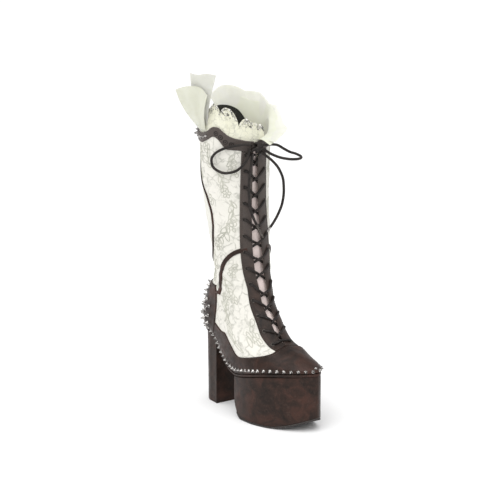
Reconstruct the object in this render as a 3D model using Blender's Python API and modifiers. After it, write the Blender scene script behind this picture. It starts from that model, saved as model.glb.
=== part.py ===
"""Tall platform boot for the right foot: lace-fabric upper, leather overlays, block heel.

Lengths are millimetres until a mesh is made. x runs from the back of the heel to the toe,
y to the wearer's left and z up from the floor. The upper is a stack of level loops around
the last. Every overlay is cut from the same grid of points as the upper.
"""

import math
from collections import namedtuple
from functools import lru_cache

import bmesh
import bpy
import numpy as np
from mathutils import Matrix, Vector

MM = 0.001
NAME = "tall_platform_boot"

# Thicknesses and clearances
GAP = 0.3
SEAM_GAP = 0.5
STRIP_GAP = 0.55
WALL = 1.8
OVERLAY = 1.3
TONGUE_THICK = 1.5
INSOLE_THICK = 2.0
OUTSOLE_THICK = 3.0
FRILL_THICK = 1.2
SOLE_EDGE = 1.5
BOARD_GAP = 0.75
INSOLE_LIFT = 0.2
INSOLE_INSET = 2.4
SLAB_END_CUT = 0.25

# Platform, heel and toe
PLATFORM_REAR = 118.0
REAR_ROUND_LENGTH = 21.0
REAR_ROUND_HEIGHT = 30.0
SPRING_START = 188.0
TOE_SPRING = 18.5
SPRING_POWER = 1.7
HEEL_BREAST = 51.0
HEEL_BACK_SLOPE = 3.0
HEEL_INSET = 1.0
TOE_INFLARE = 24.0
INFLARE_START = 70.0
TOE_X = 247.0
OUTSOLE_START = 0.3
BED_FOLLOW_T = 72.0
BED_FOLLOW_POWER = 1.5

# Throat and lacing
THROAT_T = 34.0
EYELET_PAIRS = 13
EYELET_RING = 2.7
EYELET_SEAT = 0.6
EYELET_WIRE = 0.6
EYELET_COLUMN_SHARE = 0.66
LACE_EDGE_DROP = 0.6
LACE_END_REACH = 0.3
LACE_RADIUS = 2.0
LACE_LAP = 0.8
KNOT_SIZE = (6.4, 10.5, 9.5)
AGLET_RADIUS = 1.9
AGLET_LENGTHS = {"lace_end_left": 9.0, "lace_end_front": 24.0}

# Straps and piping
STRAP_WIDTH = 4.6
STRAP_THICK = 1.8
PIPING_WIDTH = 3.0
PIPING_THICK = 1.5

# Collar frill and trim
FRILL_ROOT_ROWS = 0.55

# Rows and columns of the upper's grid, counted up from the sole and back from the front
ROW_FOX = 3
ROW_COUNTER = 8
ROW_BAND = 16
ROW_EDGE = 17
COL_STAY = 4
COL_COUNTER = 16
COL_BACK = 23
COUNTER_TOP_T = 98.0
HEM_ROW = 0.14
SEAM_COLUMNS = 0.033
EYELET_ROWS = (3.45, 15.85)
TONGUE_ROWS = (3.12, 3.5, 16.28)
LEFT, RIGHT = 1, -1
LOOP_POINTS = 161
BOARD_STATIONS = 32
INSOLE_STATIONS = 24
CORNER_STATIONS = 7
FOREFOOT_STATIONS = 41
HEEL_STATIONS = 12
PATH_SAMPLES = 200

# Height of the foot bed and thickness of the board under it, from heel to toe
BedRow = namedtuple("BedRow", "x height board")
BED = (
    BedRow(-4, 122.0, 2.5),
    BedRow(30, 118.0, 2.5),
    BedRow(52, 107.5, 2.5),
    BedRow(80, 85.5, 2.5),
    BedRow(104, 73.5, 2.8),
    BedRow(119, 71.5, 3.3),
    BedRow(150, 78.0, 4.2),
    BedRow(195, 88.0, 4.8),
    BedRow(251, 94.0, 4.2),
)

# One level loop a row: its back and front ends, half widths, the length of each rounding
# and its shift to the left
Level = namedtuple(
    "Level",
    "t back_x back_z front_x front_z heel_half ball_half back_round front_round point shift",
)
LEVELS = (
    Level(0, 4.5, 121.5, 247.0, 94.0, 28.5, 44.0, 30, 88, 1.65, 0.0),
    Level(7, 3.0, 128.0, 245.5, 98.0, 30.0, 45.5, 31, 86, 1.65, 0.0),
    Level(13, 2.0, 133.0, 238.0, 102.0, 31.5, 45.0, 32, 84, 1.65, 0.0),
    Level(19, 2.0, 138.0, 227.0, 107.5, 32.3, 44.0, 33, 80, 1.65, 0.0),
    Level(25, 2.0, 143.5, 211.0, 114.5, 32.6, 43.0, 34, 74, 1.75, 0.0),
    Level(29, 2.0, 147.0, 197.0, 119.0, 32.8, 42.0, 35, 68, 1.85, 0.0),
    Level(34, 2.5, 150.5, 184.0, 123.0, 33.0, 41.0, 36, 63, 2.0, 0.0),
    Level(60, 6.0, 168.0, 158.0, 155.0, 33.0, 36.5, 40, 65, 2.0, 0.5),
    Level(82, 13.0, 186.0, 141.0, 179.0, 34.5, 36.5, 42, 58, 2.0, 1.0),
    Level(105, 25.5, 203.0, 131.0, 205.5, 38.0, 38.5, 45, 54, 2.0, 2.5),
    Level(130, 33.5, 222.0, 122.0, 231.0, 42.0, 42.0, 44.25, 44.25, 2.0, 2.5),
    Level(162, 32.0, 256.0, 119.0, 256.0, 44.0, 44.0, 43.5, 43.5, 2.0, 2.0),
    Level(191, 26.0, 285.0, 116.0, 285.0, 47.5, 47.5, 45.0, 45.0, 2.0, 1.5),
    Level(245, 15.5, 339.0, 113.5, 339.0, 50.5, 50.5, 49.0, 49.0, 2.0, 0.7),
    Level(330, 7.5, 424.0, 116.0, 424.0, 54.0, 54.0, 54.25, 54.25, 2.0, 0.0),
    Level(370, 3.5, 464.0, 118.0, 464.0, 56.5, 56.5, 57.25, 57.25, 2.0, 0.0),
)

# Half width of the throat, width of the eyestay and reach of the counter from the back
ThroatRow = namedtuple("ThroatRow", "t half_gap stay counter")
THROAT = (
    ThroatRow(0, 0.0, 26.0, 67.0),
    ThroatRow(34, 0.0, 26.0, 75.0),
    ThroatRow(48, 4.0, 24.5, 74.0),
    ThroatRow(82, 6.5, 20.0, 68.0),
    ThroatRow(105, 7.3, 18.5, 57.0),
    ThroatRow(162, 8.5, 19.5, 58.0),
    ThroatRow(245, 5.5, 19.5, 62.0),
    ThroatRow(370, 3.0, 19.5, 66.0),
)

# Top edge of the vamp and its wings, by share of the way from the front to the back
EdgeRow = namedtuple("EdgeRow", "share level")
VAMP_EDGE = (
    EdgeRow(0.000, 34.0),
    EdgeRow(0.080, 30.0),
    EdgeRow(0.170, 25.5),
    EdgeRow(0.300, 21.5),
    EdgeRow(0.430, 19.0),
    EdgeRow(0.450, 20.5),
    EdgeRow(0.475, 28.0),
    EdgeRow(0.490, 33.5),
    EdgeRow(0.510, 35.5),
    EdgeRow(0.540, 34.0),
    EdgeRow(0.575, 32.3),
    EdgeRow(0.630, 31.2),
    EdgeRow(0.700, 30.5),
    EdgeRow(0.780, 26.0),
    EdgeRow(1.000, 22.0),
)

# Wavy top edge of the collar band, as a height above the floor
COLLAR_EDGE = (
    EdgeRow(0.000, 431.0),
    EdgeRow(0.090, 433.5),
    EdgeRow(0.150, 436.0),
    EdgeRow(0.200, 438.0),
    EdgeRow(0.255, 442.0),
    EdgeRow(0.300, 448.3),
    EdgeRow(0.345, 453.8),
    EdgeRow(0.380, 454.0),
    EdgeRow(0.470, 445.0),
    EdgeRow(0.570, 441.0),
    EdgeRow(0.800, 447.0),
    EdgeRow(1.000, 453.0),
)

# Upright width of the collar band under that edge
BAND_DEPTH = (
    EdgeRow(0.000, 16.5),
    EdgeRow(0.150, 17.5),
    EdgeRow(0.220, 19.5),
    EdgeRow(0.280, 23.5),
    EdgeRow(0.320, 21.5),
    EdgeRow(0.380, 15.5),
    EdgeRow(0.470, 13.5),
    EdgeRow(0.570, 15.5),
    EdgeRow(1.000, 16.0),
)
SHAFT_DATUM = 94.0

# Ankle strap, from the counter up to the eyestay, and the piping of the back panel
StrapRow = namedtuple("StrapRow", "x z")
ANKLE_STRAP = (
    StrapRow(66, 188),
    StrapRow(74, 198),
    StrapRow(78, 212),
    StrapRow(82, 230),
    StrapRow(90, 247),
    StrapRow(100, 258),
    StrapRow(109, 264),
)
PipingRow = namedtuple("PipingRow", "from_back z")
BACK_PIPING = (
    PipingRow(14, 207),
    PipingRow(28, 230),
    PipingRow(52, 252),
    PipingRow(73, 286),
    PipingRow(80, 312),
    PipingRow(77, 338),
    PipingRow(57, 374),
    PipingRow(45, 416),
)

# Frill sections from the collar upward: rise above the edge, lean outward and wave depth
FrillRow = namedtuple("FrillRow", "rise lean wave")
FAR_FRILL = (
    FrillRow(0.0, 0.0, 0.0),
    FrillRow(5.0, 0.6, 0.5),
    FrillRow(14.0, 3.2, 1.6),
    FrillRow(30.0, 8.0, 3.4),
    FrillRow(46.0, 12.0, 4.6),
)
BACK_FRILL = (
    FrillRow(0.0, 0.0, 0.0),
    FrillRow(6.0, 0.6, 0.6),
    FrillRow(24.0, 6.0, 3.0),
    FrillRow(50.0, 14.0, 6.0),
    FrillRow(74.0, 20.0, 8.0),
)
TRIM = (
    FrillRow(0.0, 0.0, 0.0),
    FrillRow(8.0, -0.5, 0.3),
    FrillRow(20.0, -2.0, 1.0),
    FrillRow(31.0, -4.0, 1.5),
)

# How a frill changes along the collar: its first and last column, number of waves, its
# height at four shares of its way, its lean at the start and end, and how far it fans out.
# The far frill goes round the back and ends on the left side.
FrillRun = namedtuple(
    "FrillRun", "first last waves start_height mid_height fall_height end_height start_lean end_lean fan"
)
FAR_RUN = FrillRun(20.9, 0.9, 7, 0.82, 1.0, 0.44, 0.14, 0.4, 1.2, 1.0)
BACK_RUN = FrillRun(12.7, 16.4, 2, 1.1, 1.03, 0.97, 0.85, 0.45, 1.25, 2.0)
TRIM_RUN = FrillRun(1.0, 11.6, 4, 1.0, 1.0, 1.0, 1.0, 1.0, 1.0, 1.0)
FRILL_SHARES = (0.0, 0.33, 0.62, 1.0)
TRIM_SCALLOPS = 4
TRIM_SCALLOP_SHARE = 0.3
FRILL_STEP = 0.7
FAR_FRILL_STEP = 0.95

# Routes of the bow over the shaft: distance round from the front centre, left positive,
# distance out from the upper, and height
BowRow = namedtuple("BowRow", "around out z")
KNOT_PLACE = BowRow(-4.5, 10.6, 424.5)
LACE_END = BowRow(1.8, 11.0, 412.6)
LACE_END_MIDDLE = -3.5
LOOP_RIGHT = (
    BowRow(-12.8, 11.4, 429.8), BowRow(-21, 9.8, 430.5), BowRow(-35, 7.8, 428), BowRow(-50, 6.8, 422.5),
    BowRow(-62, 6.3, 413.5), BowRow(-67, 6.3, 404), BowRow(-65, 6.3, 394.5), BowRow(-57, 6.3, 388),
    BowRow(-46, 6.3, 385), BowRow(-33, 6.8, 388), BowRow(-22, 8.2, 398), BowRow(-15.5, 10, 412),
    BowRow(-14.3, 11.2, 423.3),
)
LOOP_LEFT = (
    BowRow(3.7, 12, 427.8), BowRow(11, 16.5, 428), BowRow(20.8, 20.5, 426), BowRow(28.3, 28, 418.5),
    BowRow(32.6, 35.8, 412.8), BowRow(35, 43.3, 410.2), BowRow(33.9, 51, 408), BowRow(30.4, 54.8, 407),
    BowRow(26.2, 53.2, 406.6), BowRow(22.4, 46.6, 406.8), BowRow(17.5, 34.3, 408.6), BowRow(11.5, 20.5, 414),
    BowRow(4.6, 12, 421.8),
)
END_LEFT = (
    BowRow(1.7, 11.5, 416.8), BowRow(9, 15.5, 409.5), BowRow(15.5, 21, 400.5), BowRow(20.5, 27, 388),
    BowRow(23.5, 31.5, 370), BowRow(24, 32, 352), BowRow(23, 30.5, 335), BowRow(20, 26, 318),
    BowRow(16, 21, 305), BowRow(12.6, 16.8, 296.5),
)
END_FRONT = (
    BowRow(-10.1, 11.3, 415.9), BowRow(-11.5, 11.5, 402), BowRow(-13.5, 11.5, 384), BowRow(-14.5, 11.5, 360),
    BowRow(-13.5, 11.5, 336), BowRow(-9.5, 11.5, 316), BowRow(-5, 11.5, 303),
)
CORD_STEP = 10.0

Finish = namedtuple("Finish", "colour roughness metallic")
FINISHES = {
    "brown_leather": Finish((0.052, 0.034, 0.028), 0.42, 0.0),
    "lace_fabric": Finish((0.78, 0.76, 0.68), 0.85, 0.0),
    "cream_lining": Finish((0.74, 0.66, 0.60), 0.90, 0.0),
    "organza": Finish((0.80, 0.79, 0.68), 0.70, 0.0),
    "sole_rubber": Finish((0.10, 0.095, 0.09), 0.75, 0.0),
    "lace_cord": Finish((0.045, 0.032, 0.027), 0.65, 0.0),
    "dark_metal": Finish((0.12, 0.11, 0.10), 0.35, 1.0),
}


def clear_scene():
    """Empty the scene and return the collections for parts and for cutters."""
    for item in list(bpy.data.objects):
        bpy.data.objects.remove(item, do_unlink=True)
    folders = []
    for name in (NAME, "cutters"):
        folder = bpy.data.collections.new(name)
        bpy.context.scene.collection.children.link(folder)
        folders.append(folder)
    return folders


def make_material(name):
    """A Principled material with the colour and gloss of one finish."""
    finish = FINISHES[name]
    material = bpy.data.materials.new(name)
    material.use_nodes = True
    shader = material.node_tree.nodes["Principled BSDF"]
    shader.inputs["Base Color"].default_value = (*finish.colour, 1.0)
    shader.inputs["Roughness"].default_value = finish.roughness
    shader.inputs["Metallic"].default_value = finish.metallic
    return material


def curve_through(keys, values):
    """Monotone cubic through the rows of a table, as a function of the key."""
    keys = np.asarray(keys, float)
    values = np.asarray(values, float)
    steps = np.diff(keys)
    slopes = np.diff(values) / steps
    tangents = np.zeros_like(values)
    tangents[0] = slopes[0]
    tangents[-1] = slopes[-1]
    for i in range(1, len(values) - 1):
        if slopes[i - 1] * slopes[i] > 0.0:
            before = 2.0 * steps[i] + steps[i - 1]
            after = steps[i] + 2.0 * steps[i - 1]
            tangents[i] = (before + after) / (before / slopes[i - 1] + after / slopes[i])

    def evaluate(key):
        key = np.clip(key, keys[0], keys[-1])
        i = np.clip(np.searchsorted(keys, key, side="right") - 1, 0, len(steps) - 1)
        s = (key - keys[i]) / steps[i]
        rise = values[i + 1] - values[i]
        ease = s * s * (3.0 - 2.0 * s)
        bend = s * (1.0 - s) ** 2 * tangents[i] - s * s * (1.0 - s) * tangents[i + 1]
        return values[i] + rise * ease + steps[i] * bend

    return evaluate


def columns_of(rows, key):
    """Curves through every column of a table but its key."""
    keys = [getattr(row, key) for row in rows]
    names = [name for name in rows[0]._fields if name != key]
    return {name: curve_through(keys, [getattr(row, name) for row in rows]) for name in names}


BED_CURVES = columns_of(BED, "x")
LEVEL_CURVES = columns_of(LEVELS, "t")
THROAT_CURVES = columns_of(THROAT, "t")
vamp_edge_level = columns_of(VAMP_EDGE, "share")["level"]
collar_edge_height = columns_of(COLLAR_EDGE, "share")["level"]
band_depth = columns_of(BAND_DEPTH, "share")["level"]


def bed_height(x):
    """Height of the foot bed, where the upper's lower edge runs."""
    return BED_CURVES["height"](x)


def board_top(x):
    """Top of the board that closes the upper."""
    return bed_height(x) - BOARD_GAP


def board_bottom(x):
    """Underside of that board."""
    return board_top(x) - BED_CURVES["board"](x)


def centre_line(x):
    """Sideways place of the last's middle, which turns in towards the toe."""
    reach = np.clip((x - INFLARE_START) / (TOE_X - INFLARE_START), 0.0, None)
    return TOE_INFLARE * reach ** 2


def round_end(depth, power):
    """Share of the full width at a depth from a rounded end."""
    inner = 1.0 - np.clip(depth, 0.0, 1.0)
    return np.clip(1.0 - inner ** power, 0.0, 1.0) ** (1.0 / power)


def ease(value):
    """Smooth step from 0 to 1."""
    value = np.clip(value, 0.0, 1.0)
    return value * value * (3.0 - 2.0 * value)


def level_at(t):
    """The level row at any height along the last."""
    return Level(t, *(float(LEVEL_CURVES[name](t)) for name in Level._fields[1:]))


def half_width(level, x, grow=0.0):
    """Half width of a level loop at x, with its whole outline grown by an edge."""
    back = (x - level.back_x + grow) / (level.back_round + grow)
    front = (level.front_x + grow - x) / (level.front_round + grow)
    start = level.back_x + level.back_round
    span = max(level.front_x - level.front_round - start, 1.0)
    width = level.heel_half + (level.ball_half - level.heel_half) * ease((x - start) / span)
    return (width + grow) * round_end(back, 2.0) * round_end(front, level.point)


@lru_cache(maxsize=None)
def half_loop(t, side):
    """Points of one side of a level loop, front to back, and their distance along it."""
    level = level_at(t)
    turn = np.linspace(0.0, math.pi, LOOP_POINTS)
    x = level.front_x - (level.front_x - level.back_x) * (1.0 - np.cos(turn)) / 2.0
    y = centre_line(x) + level.shift + side * half_width(level, x)
    share = (x - level.back_x) / (level.front_x - level.back_x)
    chord = level.back_z + (level.front_z - level.back_z) * share
    bed_back = bed_height(level.back_x)
    bed_chord = bed_back + (bed_height(level.front_x) - bed_back) * share
    follow = max(0.0, 1.0 - t / BED_FOLLOW_T) ** BED_FOLLOW_POWER
    z = chord + follow * (bed_height(x) - bed_chord)
    points = np.stack([x, y, z], axis=1)
    arc = np.concatenate([[0.0], np.cumsum(np.linalg.norm(np.diff(points, axis=0), axis=1))])
    return points, arc


def on_surface(side, t, arc):
    """The upper's outer surface at a level and a distance from the front."""
    points, arcs = half_loop(round(float(t), 4), side)
    return np.array([np.interp(arc, arcs, points[:, i]) for i in range(3)])


def surface_normal(side, t, arc):
    """Outward direction there, from small steps along and up the surface."""
    step = 0.8
    along = on_surface(side, t, arc + step) - on_surface(side, t, arc - step)
    upward = on_surface(side, t + step, arc) - on_surface(side, t - step, arc)
    normal = np.cross(upward, along) * -side
    return normal / np.linalg.norm(normal)


def loop_length(side, t):
    """Length of one side of a level loop."""
    return half_loop(round(float(t), 4), side)[1][-1]


def column_arc(side, t, column):
    """Distance of a grid column from the front centre at a level."""
    gap = float(THROAT_CURVES["half_gap"](t))
    stay = gap + float(THROAT_CURVES["stay"](t))
    length = loop_length(side, t)
    counter = length - float(THROAT_CURVES["counter"](t))
    return float(np.interp(column, (0, COL_STAY, COL_COUNTER, COL_BACK), (gap, stay, counter, length)))


def vamp_edge_t(side, column):
    """Level of the vamp's top edge at a column."""
    t = vamp_edge_level(0.5)
    for _ in range(12):
        share = column_arc(side, t, column) / loop_length(side, t)
        t = 0.5 * (t + float(vamp_edge_level(share)))
    return t if column > 0 else THROAT_T


def collar_share(side, column):
    """Share of the way from front to back at the collar, for a column."""
    t = collar_edge_height(0.0) - SHAFT_DATUM
    return column_arc(side, t, column) / loop_length(side, t)


def collar_edge_t(side, column):
    """Level of the collar's wavy top edge at a column."""
    return float(collar_edge_height(collar_share(side, column))) - SHAFT_DATUM


@lru_cache(maxsize=None)
def row_levels(side, column):
    """Level of every grid row at a column."""
    edge = collar_edge_t(side, column)
    band = edge - float(band_depth(collar_share(side, column)))
    stops = (0.0, vamp_edge_t(side, column), COUNTER_TOP_T, band, edge)
    rows = np.arange(ROW_EDGE + 1)
    return np.interp(rows, (0, ROW_FOX, ROW_COUNTER, ROW_BAND, ROW_EDGE), stops)


def build_grid():
    """Places and outward normals of the upper's grid, for both sides."""
    places = {}
    for side in (LEFT, RIGHT):
        sheet = np.zeros((ROW_EDGE + 1, COL_BACK + 1, 3))
        for column in range(COL_BACK + 1):
            for row, t in enumerate(row_levels(side, column)):
                sheet[row, column] = on_surface(side, t, column_arc(side, t, column))
        places[side] = sheet
    normals = {side: np.zeros_like(sheet) for side, sheet in places.items()}
    for side, sheet in places.items():
        diagonal_a = sheet[1:, 1:] - sheet[:-1, :-1]
        diagonal_b = sheet[1:, :-1] - sheet[:-1, 1:]
        faces = np.cross(diagonal_a, diagonal_b) * side
        for rows, columns in ((slice(1, None), slice(1, None)), (slice(1, None), slice(None, -1)),
                              (slice(None, -1), slice(1, None)), (slice(None, -1), slice(None, -1))):
            normals[side][rows, columns] += faces
    back = normals[LEFT][:, -1] + normals[RIGHT][:, -1]
    front = normals[LEFT][:ROW_FOX + 1, 0] + normals[RIGHT][:ROW_FOX + 1, 0]
    for side in (LEFT, RIGHT):
        normals[side][:, -1] = back
        normals[side][:ROW_FOX + 1, 0] = front
        normals[side] /= np.linalg.norm(normals[side], axis=2, keepdims=True)
    return places, normals


PLACES, NORMALS = build_grid()


def between(sheet, row, column):
    """Value of a grid at a row and column that may fall between its lines."""
    low_row = min(int(row), ROW_EDGE - 1)
    low_column = min(int(column), COL_BACK - 1)
    up = row - low_row
    along = column - low_column
    lower = sheet[low_row, low_column] * (1 - along) + sheet[low_row, low_column + 1] * along
    upper = sheet[low_row + 1, low_column] * (1 - along) + sheet[low_row + 1, low_column + 1] * along
    return lower * (1 - up) + upper * up


def grid_normal(side, row, column):
    """Outward direction of the upper's grid."""
    normal = between(NORMALS[side], row, column)
    return normal / np.linalg.norm(normal)


def grid_point(side, row, column, offset=0.0):
    """A point over the upper's grid, a distance out from it."""
    return between(PLACES[side], row, column) + grid_normal(side, row, column) * offset


def grid_place(side, t, arc):
    """Row and column of the grid at a level and a distance from the front."""
    columns = range(COL_BACK + 1)
    column = float(np.interp(arc, [column_arc(side, t, number) for number in columns], columns))
    low = min(int(column), COL_BACK - 1)
    along = column - low
    levels = row_levels(side, low) * (1.0 - along) + row_levels(side, low + 1) * along
    return float(np.interp(t, levels, np.arange(ROW_EDGE + 1))), column


def throat_point(row, offset):
    """A point on the middle of the throat, a distance out from it."""
    middle = (grid_point(LEFT, row, 0.0) + grid_point(RIGHT, row, 0.0)) / 2.0
    outward = grid_normal(LEFT, row, 0.0) + grid_normal(RIGHT, row, 0.0)
    return middle + outward / np.linalg.norm(outward) * offset


def add_mesh(name, points, faces, finish):
    """A mesh object in the parts collection, from millimetre points."""
    mesh = bpy.data.meshes.new(name)
    mesh.from_pydata([tuple(point * MM) for point in points], [], faces)
    mesh.materials.append(MATERIALS[finish])
    item = bpy.data.objects.new(name, mesh)
    PARTS.objects.link(item)
    item.parent = ROOT
    return item


def add_sheet(name, lines, finish, thickness, outward):
    """An open sheet through lines of points, thickened to one side."""
    count = len(lines[0])
    points = [point for line in lines for point in line]
    faces = []
    for i in range(len(lines) - 1):
        for j in range(count - 1):
            corner = i * count + j
            faces.append((corner, corner + count, corner + count + 1, corner + 1))
    item = add_mesh(name, points, faces, finish)
    shell = item.modifiers.new("wall", "SOLIDIFY")
    shell.thickness = thickness * MM
    shell.offset = 1.0 if outward else -1.0
    item.data.shade_smooth()
    return item


def add_panel(name, stations, rows, offset, finish, thickness, outward):
    """A sheet cut from the upper's grid between rows, along stations of side and column."""
    lines = [[grid_point(side, row, column, offset) for side, column in stations] for row in rows]
    return add_sheet(name, lines, finish, thickness, outward)


def around_back(first_right, first_left):
    """Stations from a column on the right side, round the back, to one on the left."""
    right = [first_right] + list(range(math.floor(first_right) + 1, COL_BACK + 1))
    left = [first_left] + list(range(math.floor(first_left) + 1, COL_BACK))
    return [(RIGHT, column) for column in right] + [(LEFT, column) for column in reversed(left)]


def around_front(last):
    """Stations from a column on the left side, round the toe, to the same on the right."""
    side_columns = list(range(1, math.ceil(last))) + [last]
    left = [(LEFT, column) for column in reversed(side_columns)]
    return left + [(LEFT, 0)] + [(RIGHT, column) for column in side_columns]


def merge_close(item):
    """Join the points of a mesh that lie in one place."""
    shape = bmesh.new()
    shape.from_mesh(item.data)
    bmesh.ops.remove_doubles(shape, verts=shape.verts, dist=0.01 * MM)
    shape.to_mesh(item.data)
    shape.free()


def add_slab(name, stations, finish):
    """A closed loft through sections of four corners: right and left, below and above."""
    points = [corner for section in stations for corner in section]
    faces = [(3, 2, 1, 0)]
    for i in range(len(stations) - 1):
        base = 4 * i
        for j in range(4):
            k = (j + 1) % 4
            faces.append((base + j, base + k, base + 4 + k, base + 4 + j))
    last = 4 * (len(stations) - 1)
    faces.append((last, last + 1, last + 2, last + 3))
    return add_mesh(name, points, faces, finish)


def slab_section(x, half, bottom, top, low_x=None, low_half=None):
    """Four corners of a slab across the boot at x."""
    low_x = x if low_x is None else low_x
    low_half = half if low_half is None else low_half
    low_y = centre_line(low_x)
    high_y = centre_line(x)
    return [
        np.array([low_x, low_y - low_half, bottom]),
        np.array([low_x, low_y + low_half, bottom]),
        np.array([x, high_y + half, top]),
        np.array([x, high_y - half, top]),
    ]


def eased_stops(start, end, count):
    """Stops that crowd towards both ends, where an outline turns."""
    turn = np.linspace(0.0, math.pi, count)
    return start + (end - start) * (1.0 - np.cos(turn)) / 2.0


def floor_line(x):
    """Underside of the forefoot sole: rounded at the rear, flat, then sprung at the toe."""
    rear = np.clip((PLATFORM_REAR + REAR_ROUND_LENGTH - x) / REAR_ROUND_LENGTH, 0.0, 1.0)
    toe = np.clip((x - SPRING_START) / (TOE_X - SPRING_START), 0.0, None)
    corner = REAR_ROUND_HEIGHT * (1.0 - math.sqrt(1.0 - rear * rear))
    return corner + TOE_SPRING * toe ** SPRING_POWER


def build_sole():
    """Outsole, platform, board, heel and insole."""
    base = level_at(0.0)
    tip = base.front_x + SOLE_EDGE

    def edge_half(x):
        return float(half_width(base, x, SOLE_EDGE))

    board = eased_stops(base.back_x - SOLE_EDGE + SLAB_END_CUT, tip - SLAB_END_CUT, BOARD_STATIONS)
    add_slab("midsole_board",
             [slab_section(x, edge_half(x), board_bottom(x), board_top(x)) for x in board],
             "brown_leather")

    inner = -(WALL + INSOLE_INSET)
    insole = eased_stops(base.back_x - inner + SLAB_END_CUT, base.front_x + inner - SLAB_END_CUT,
                         INSOLE_STATIONS)
    add_slab("insole",
             [slab_section(x, float(half_width(base, x, inner)), bed_height(x) + INSOLE_LIFT,
                           bed_height(x) + INSOLE_LIFT + INSOLE_THICK) for x in insole],
             "cream_lining")

    corner_end = PLATFORM_REAR + 2 * REAR_ROUND_LENGTH
    corner = eased_stops(PLATFORM_REAR + SLAB_END_CUT, corner_end, 2 * CORNER_STATIONS - 1)
    corner = corner[:CORNER_STATIONS]
    forefoot = eased_stops(2 * PLATFORM_REAR - tip, tip - SLAB_END_CUT, FOREFOOT_STATIONS)
    stops = list(corner) + [x for x in forefoot if x > corner[-1] + 2.0]
    lift = OUTSOLE_THICK + GAP
    add_slab("platform",
             [slab_section(x, edge_half(x), floor_line(x) + lift, board_bottom(x) - GAP)
              for x in stops],
             "brown_leather")
    outsole = [x for x in stops if x > PLATFORM_REAR + OUTSOLE_START * REAR_ROUND_LENGTH]
    add_slab("outsole",
             [slab_section(x, edge_half(x), floor_line(x), floor_line(x) + OUTSOLE_THICK)
              for x in outsole],
             "sole_rubber")

    back = base.back_x + HEEL_INSET + SLAB_END_CUT
    heel_turn = np.linspace(0.0, math.pi / 2.0, HEEL_STATIONS)
    heel = back + (HEEL_BREAST - back) * (1.0 - np.cos(heel_turn))
    slope = HEEL_BACK_SLOPE * (HEEL_BREAST - heel) / (HEEL_BREAST - back)
    add_slab("heel_block",
             [slab_section(x, float(half_width(base, x, -HEEL_INSET)), 0.0, board_bottom(x) - GAP,
                           low_x=x + shift) for x, shift in zip(heel, slope)],
             "brown_leather")


def build_upper():
    """The hollow upper, its tongue and the leather pieces laid over it."""
    all_rows = range(ROW_EDGE + 1)
    upper = add_panel("upper", around_back(0, 0), all_rows, 0.0, "lace_fabric", WALL, False)
    merge_close(upper)

    fox_rows = [HEM_ROW, 1, 2, ROW_FOX]
    add_panel("vamp", around_front(COL_COUNTER - SEAM_COLUMNS), fox_rows, GAP,
              "brown_leather", OVERLAY, True)
    counter_rows = [HEM_ROW] + list(range(1, ROW_COUNTER + 1))
    add_panel("counter", around_back(COL_COUNTER + SEAM_COLUMNS, COL_COUNTER + SEAM_COLUMNS), counter_rows, GAP,
              "brown_leather", OVERLAY, True)
    stay_rows = [ROW_FOX + 2 * SEAM_COLUMNS] + list(range(ROW_FOX + 1, ROW_BAND))
    stay_rows.append(ROW_BAND - SEAM_COLUMNS)
    for side, name in ((LEFT, "eyestay_left"), (RIGHT, "eyestay_right")):
        columns = range(COL_STAY + 1)
        stations = [(side, column) for column in (columns if side == RIGHT else reversed(columns))]
        add_panel(name, stations, stay_rows, GAP, "brown_leather", OVERLAY, True)
    add_panel("collar_band", around_back(0, 0), [ROW_BAND, ROW_EDGE], GAP,
              "brown_leather", OVERLAY, True)
    build_tongue()


def build_tongue():
    """The tongue behind the throat, inside the upper's wall."""
    inside = -(WALL + SEAM_GAP)
    rows = sorted([*TONGUE_ROWS, *range(ROW_FOX + 1, ROW_EDGE)])
    lines = []
    for row in rows:
        line = [grid_point(LEFT, row, column, inside) for column in (2, 0)]
        line.append(throat_point(row, inside))
        line += [grid_point(RIGHT, row, column, inside) for column in (0, 2)]
        lines.append(line)
    add_sheet("tongue", lines, "cream_lining", TONGUE_THICK, False)


def level_through(side, x, z):
    """Level and distance from the front of the surface point at x and z."""
    low, high = 0.0, LEVELS[-1].t
    for _ in range(40):
        t = (low + high) / 2.0
        points = half_loop(round(t, 4), side)[0]
        if np.interp(-x, -points[:, 0], points[:, 2]) < z:
            low = t
        else:
            high = t
    points, arcs = half_loop(round(t, 4), side)
    return t, float(np.interp(-x, -points[:, 0], arcs))


def add_strip(name, side, route, width, thickness, finish):
    """A narrow strip on the upper along a route of levels and distances."""
    route = np.array(route)
    ticks = np.arange(len(route))
    curves = [curve_through(ticks, route[:, i]) for i in range(2)]
    stops = np.linspace(0.0, len(route) - 1.0, 2 * len(route))
    lines = []
    for stop in stops:
        here = np.array([curve(stop) for curve in curves])
        ahead = np.array([curve(min(stop + 0.1, ticks[-1])) for curve in curves])
        behind = np.array([curve(max(stop - 0.1, 0.0)) for curve in curves])
        along = (ahead - behind) / np.linalg.norm(ahead - behind)
        across = np.array([-along[1], along[0]]) * width / 2.0
        line = []
        for share in (1.0, 0.0, -1.0):
            row, column = grid_place(side, *(here + across * share * side))
            line.append(grid_point(side, row, column, STRIP_GAP))
        lines.append(line)
    return add_sheet(name, lines, finish, thickness, True)


def build_straps():
    """Ankle straps and the piping that edges the back panel, on both sides."""
    for side, word in ((LEFT, "left"), (RIGHT, "right")):
        strap = [level_through(side, row.x, row.z) for row in ANKLE_STRAP]
        add_strip(f"ankle_strap_{word}", side, strap, STRAP_WIDTH, STRAP_THICK, "brown_leather")
        piping = []
        for row in BACK_PIPING:
            t = row.z - SHAFT_DATUM
            piping.append((t, loop_length(side, t) - row.from_back))
        add_strip(f"back_piping_{word}", side, piping, PIPING_WIDTH, PIPING_THICK, "brown_leather")


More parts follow.
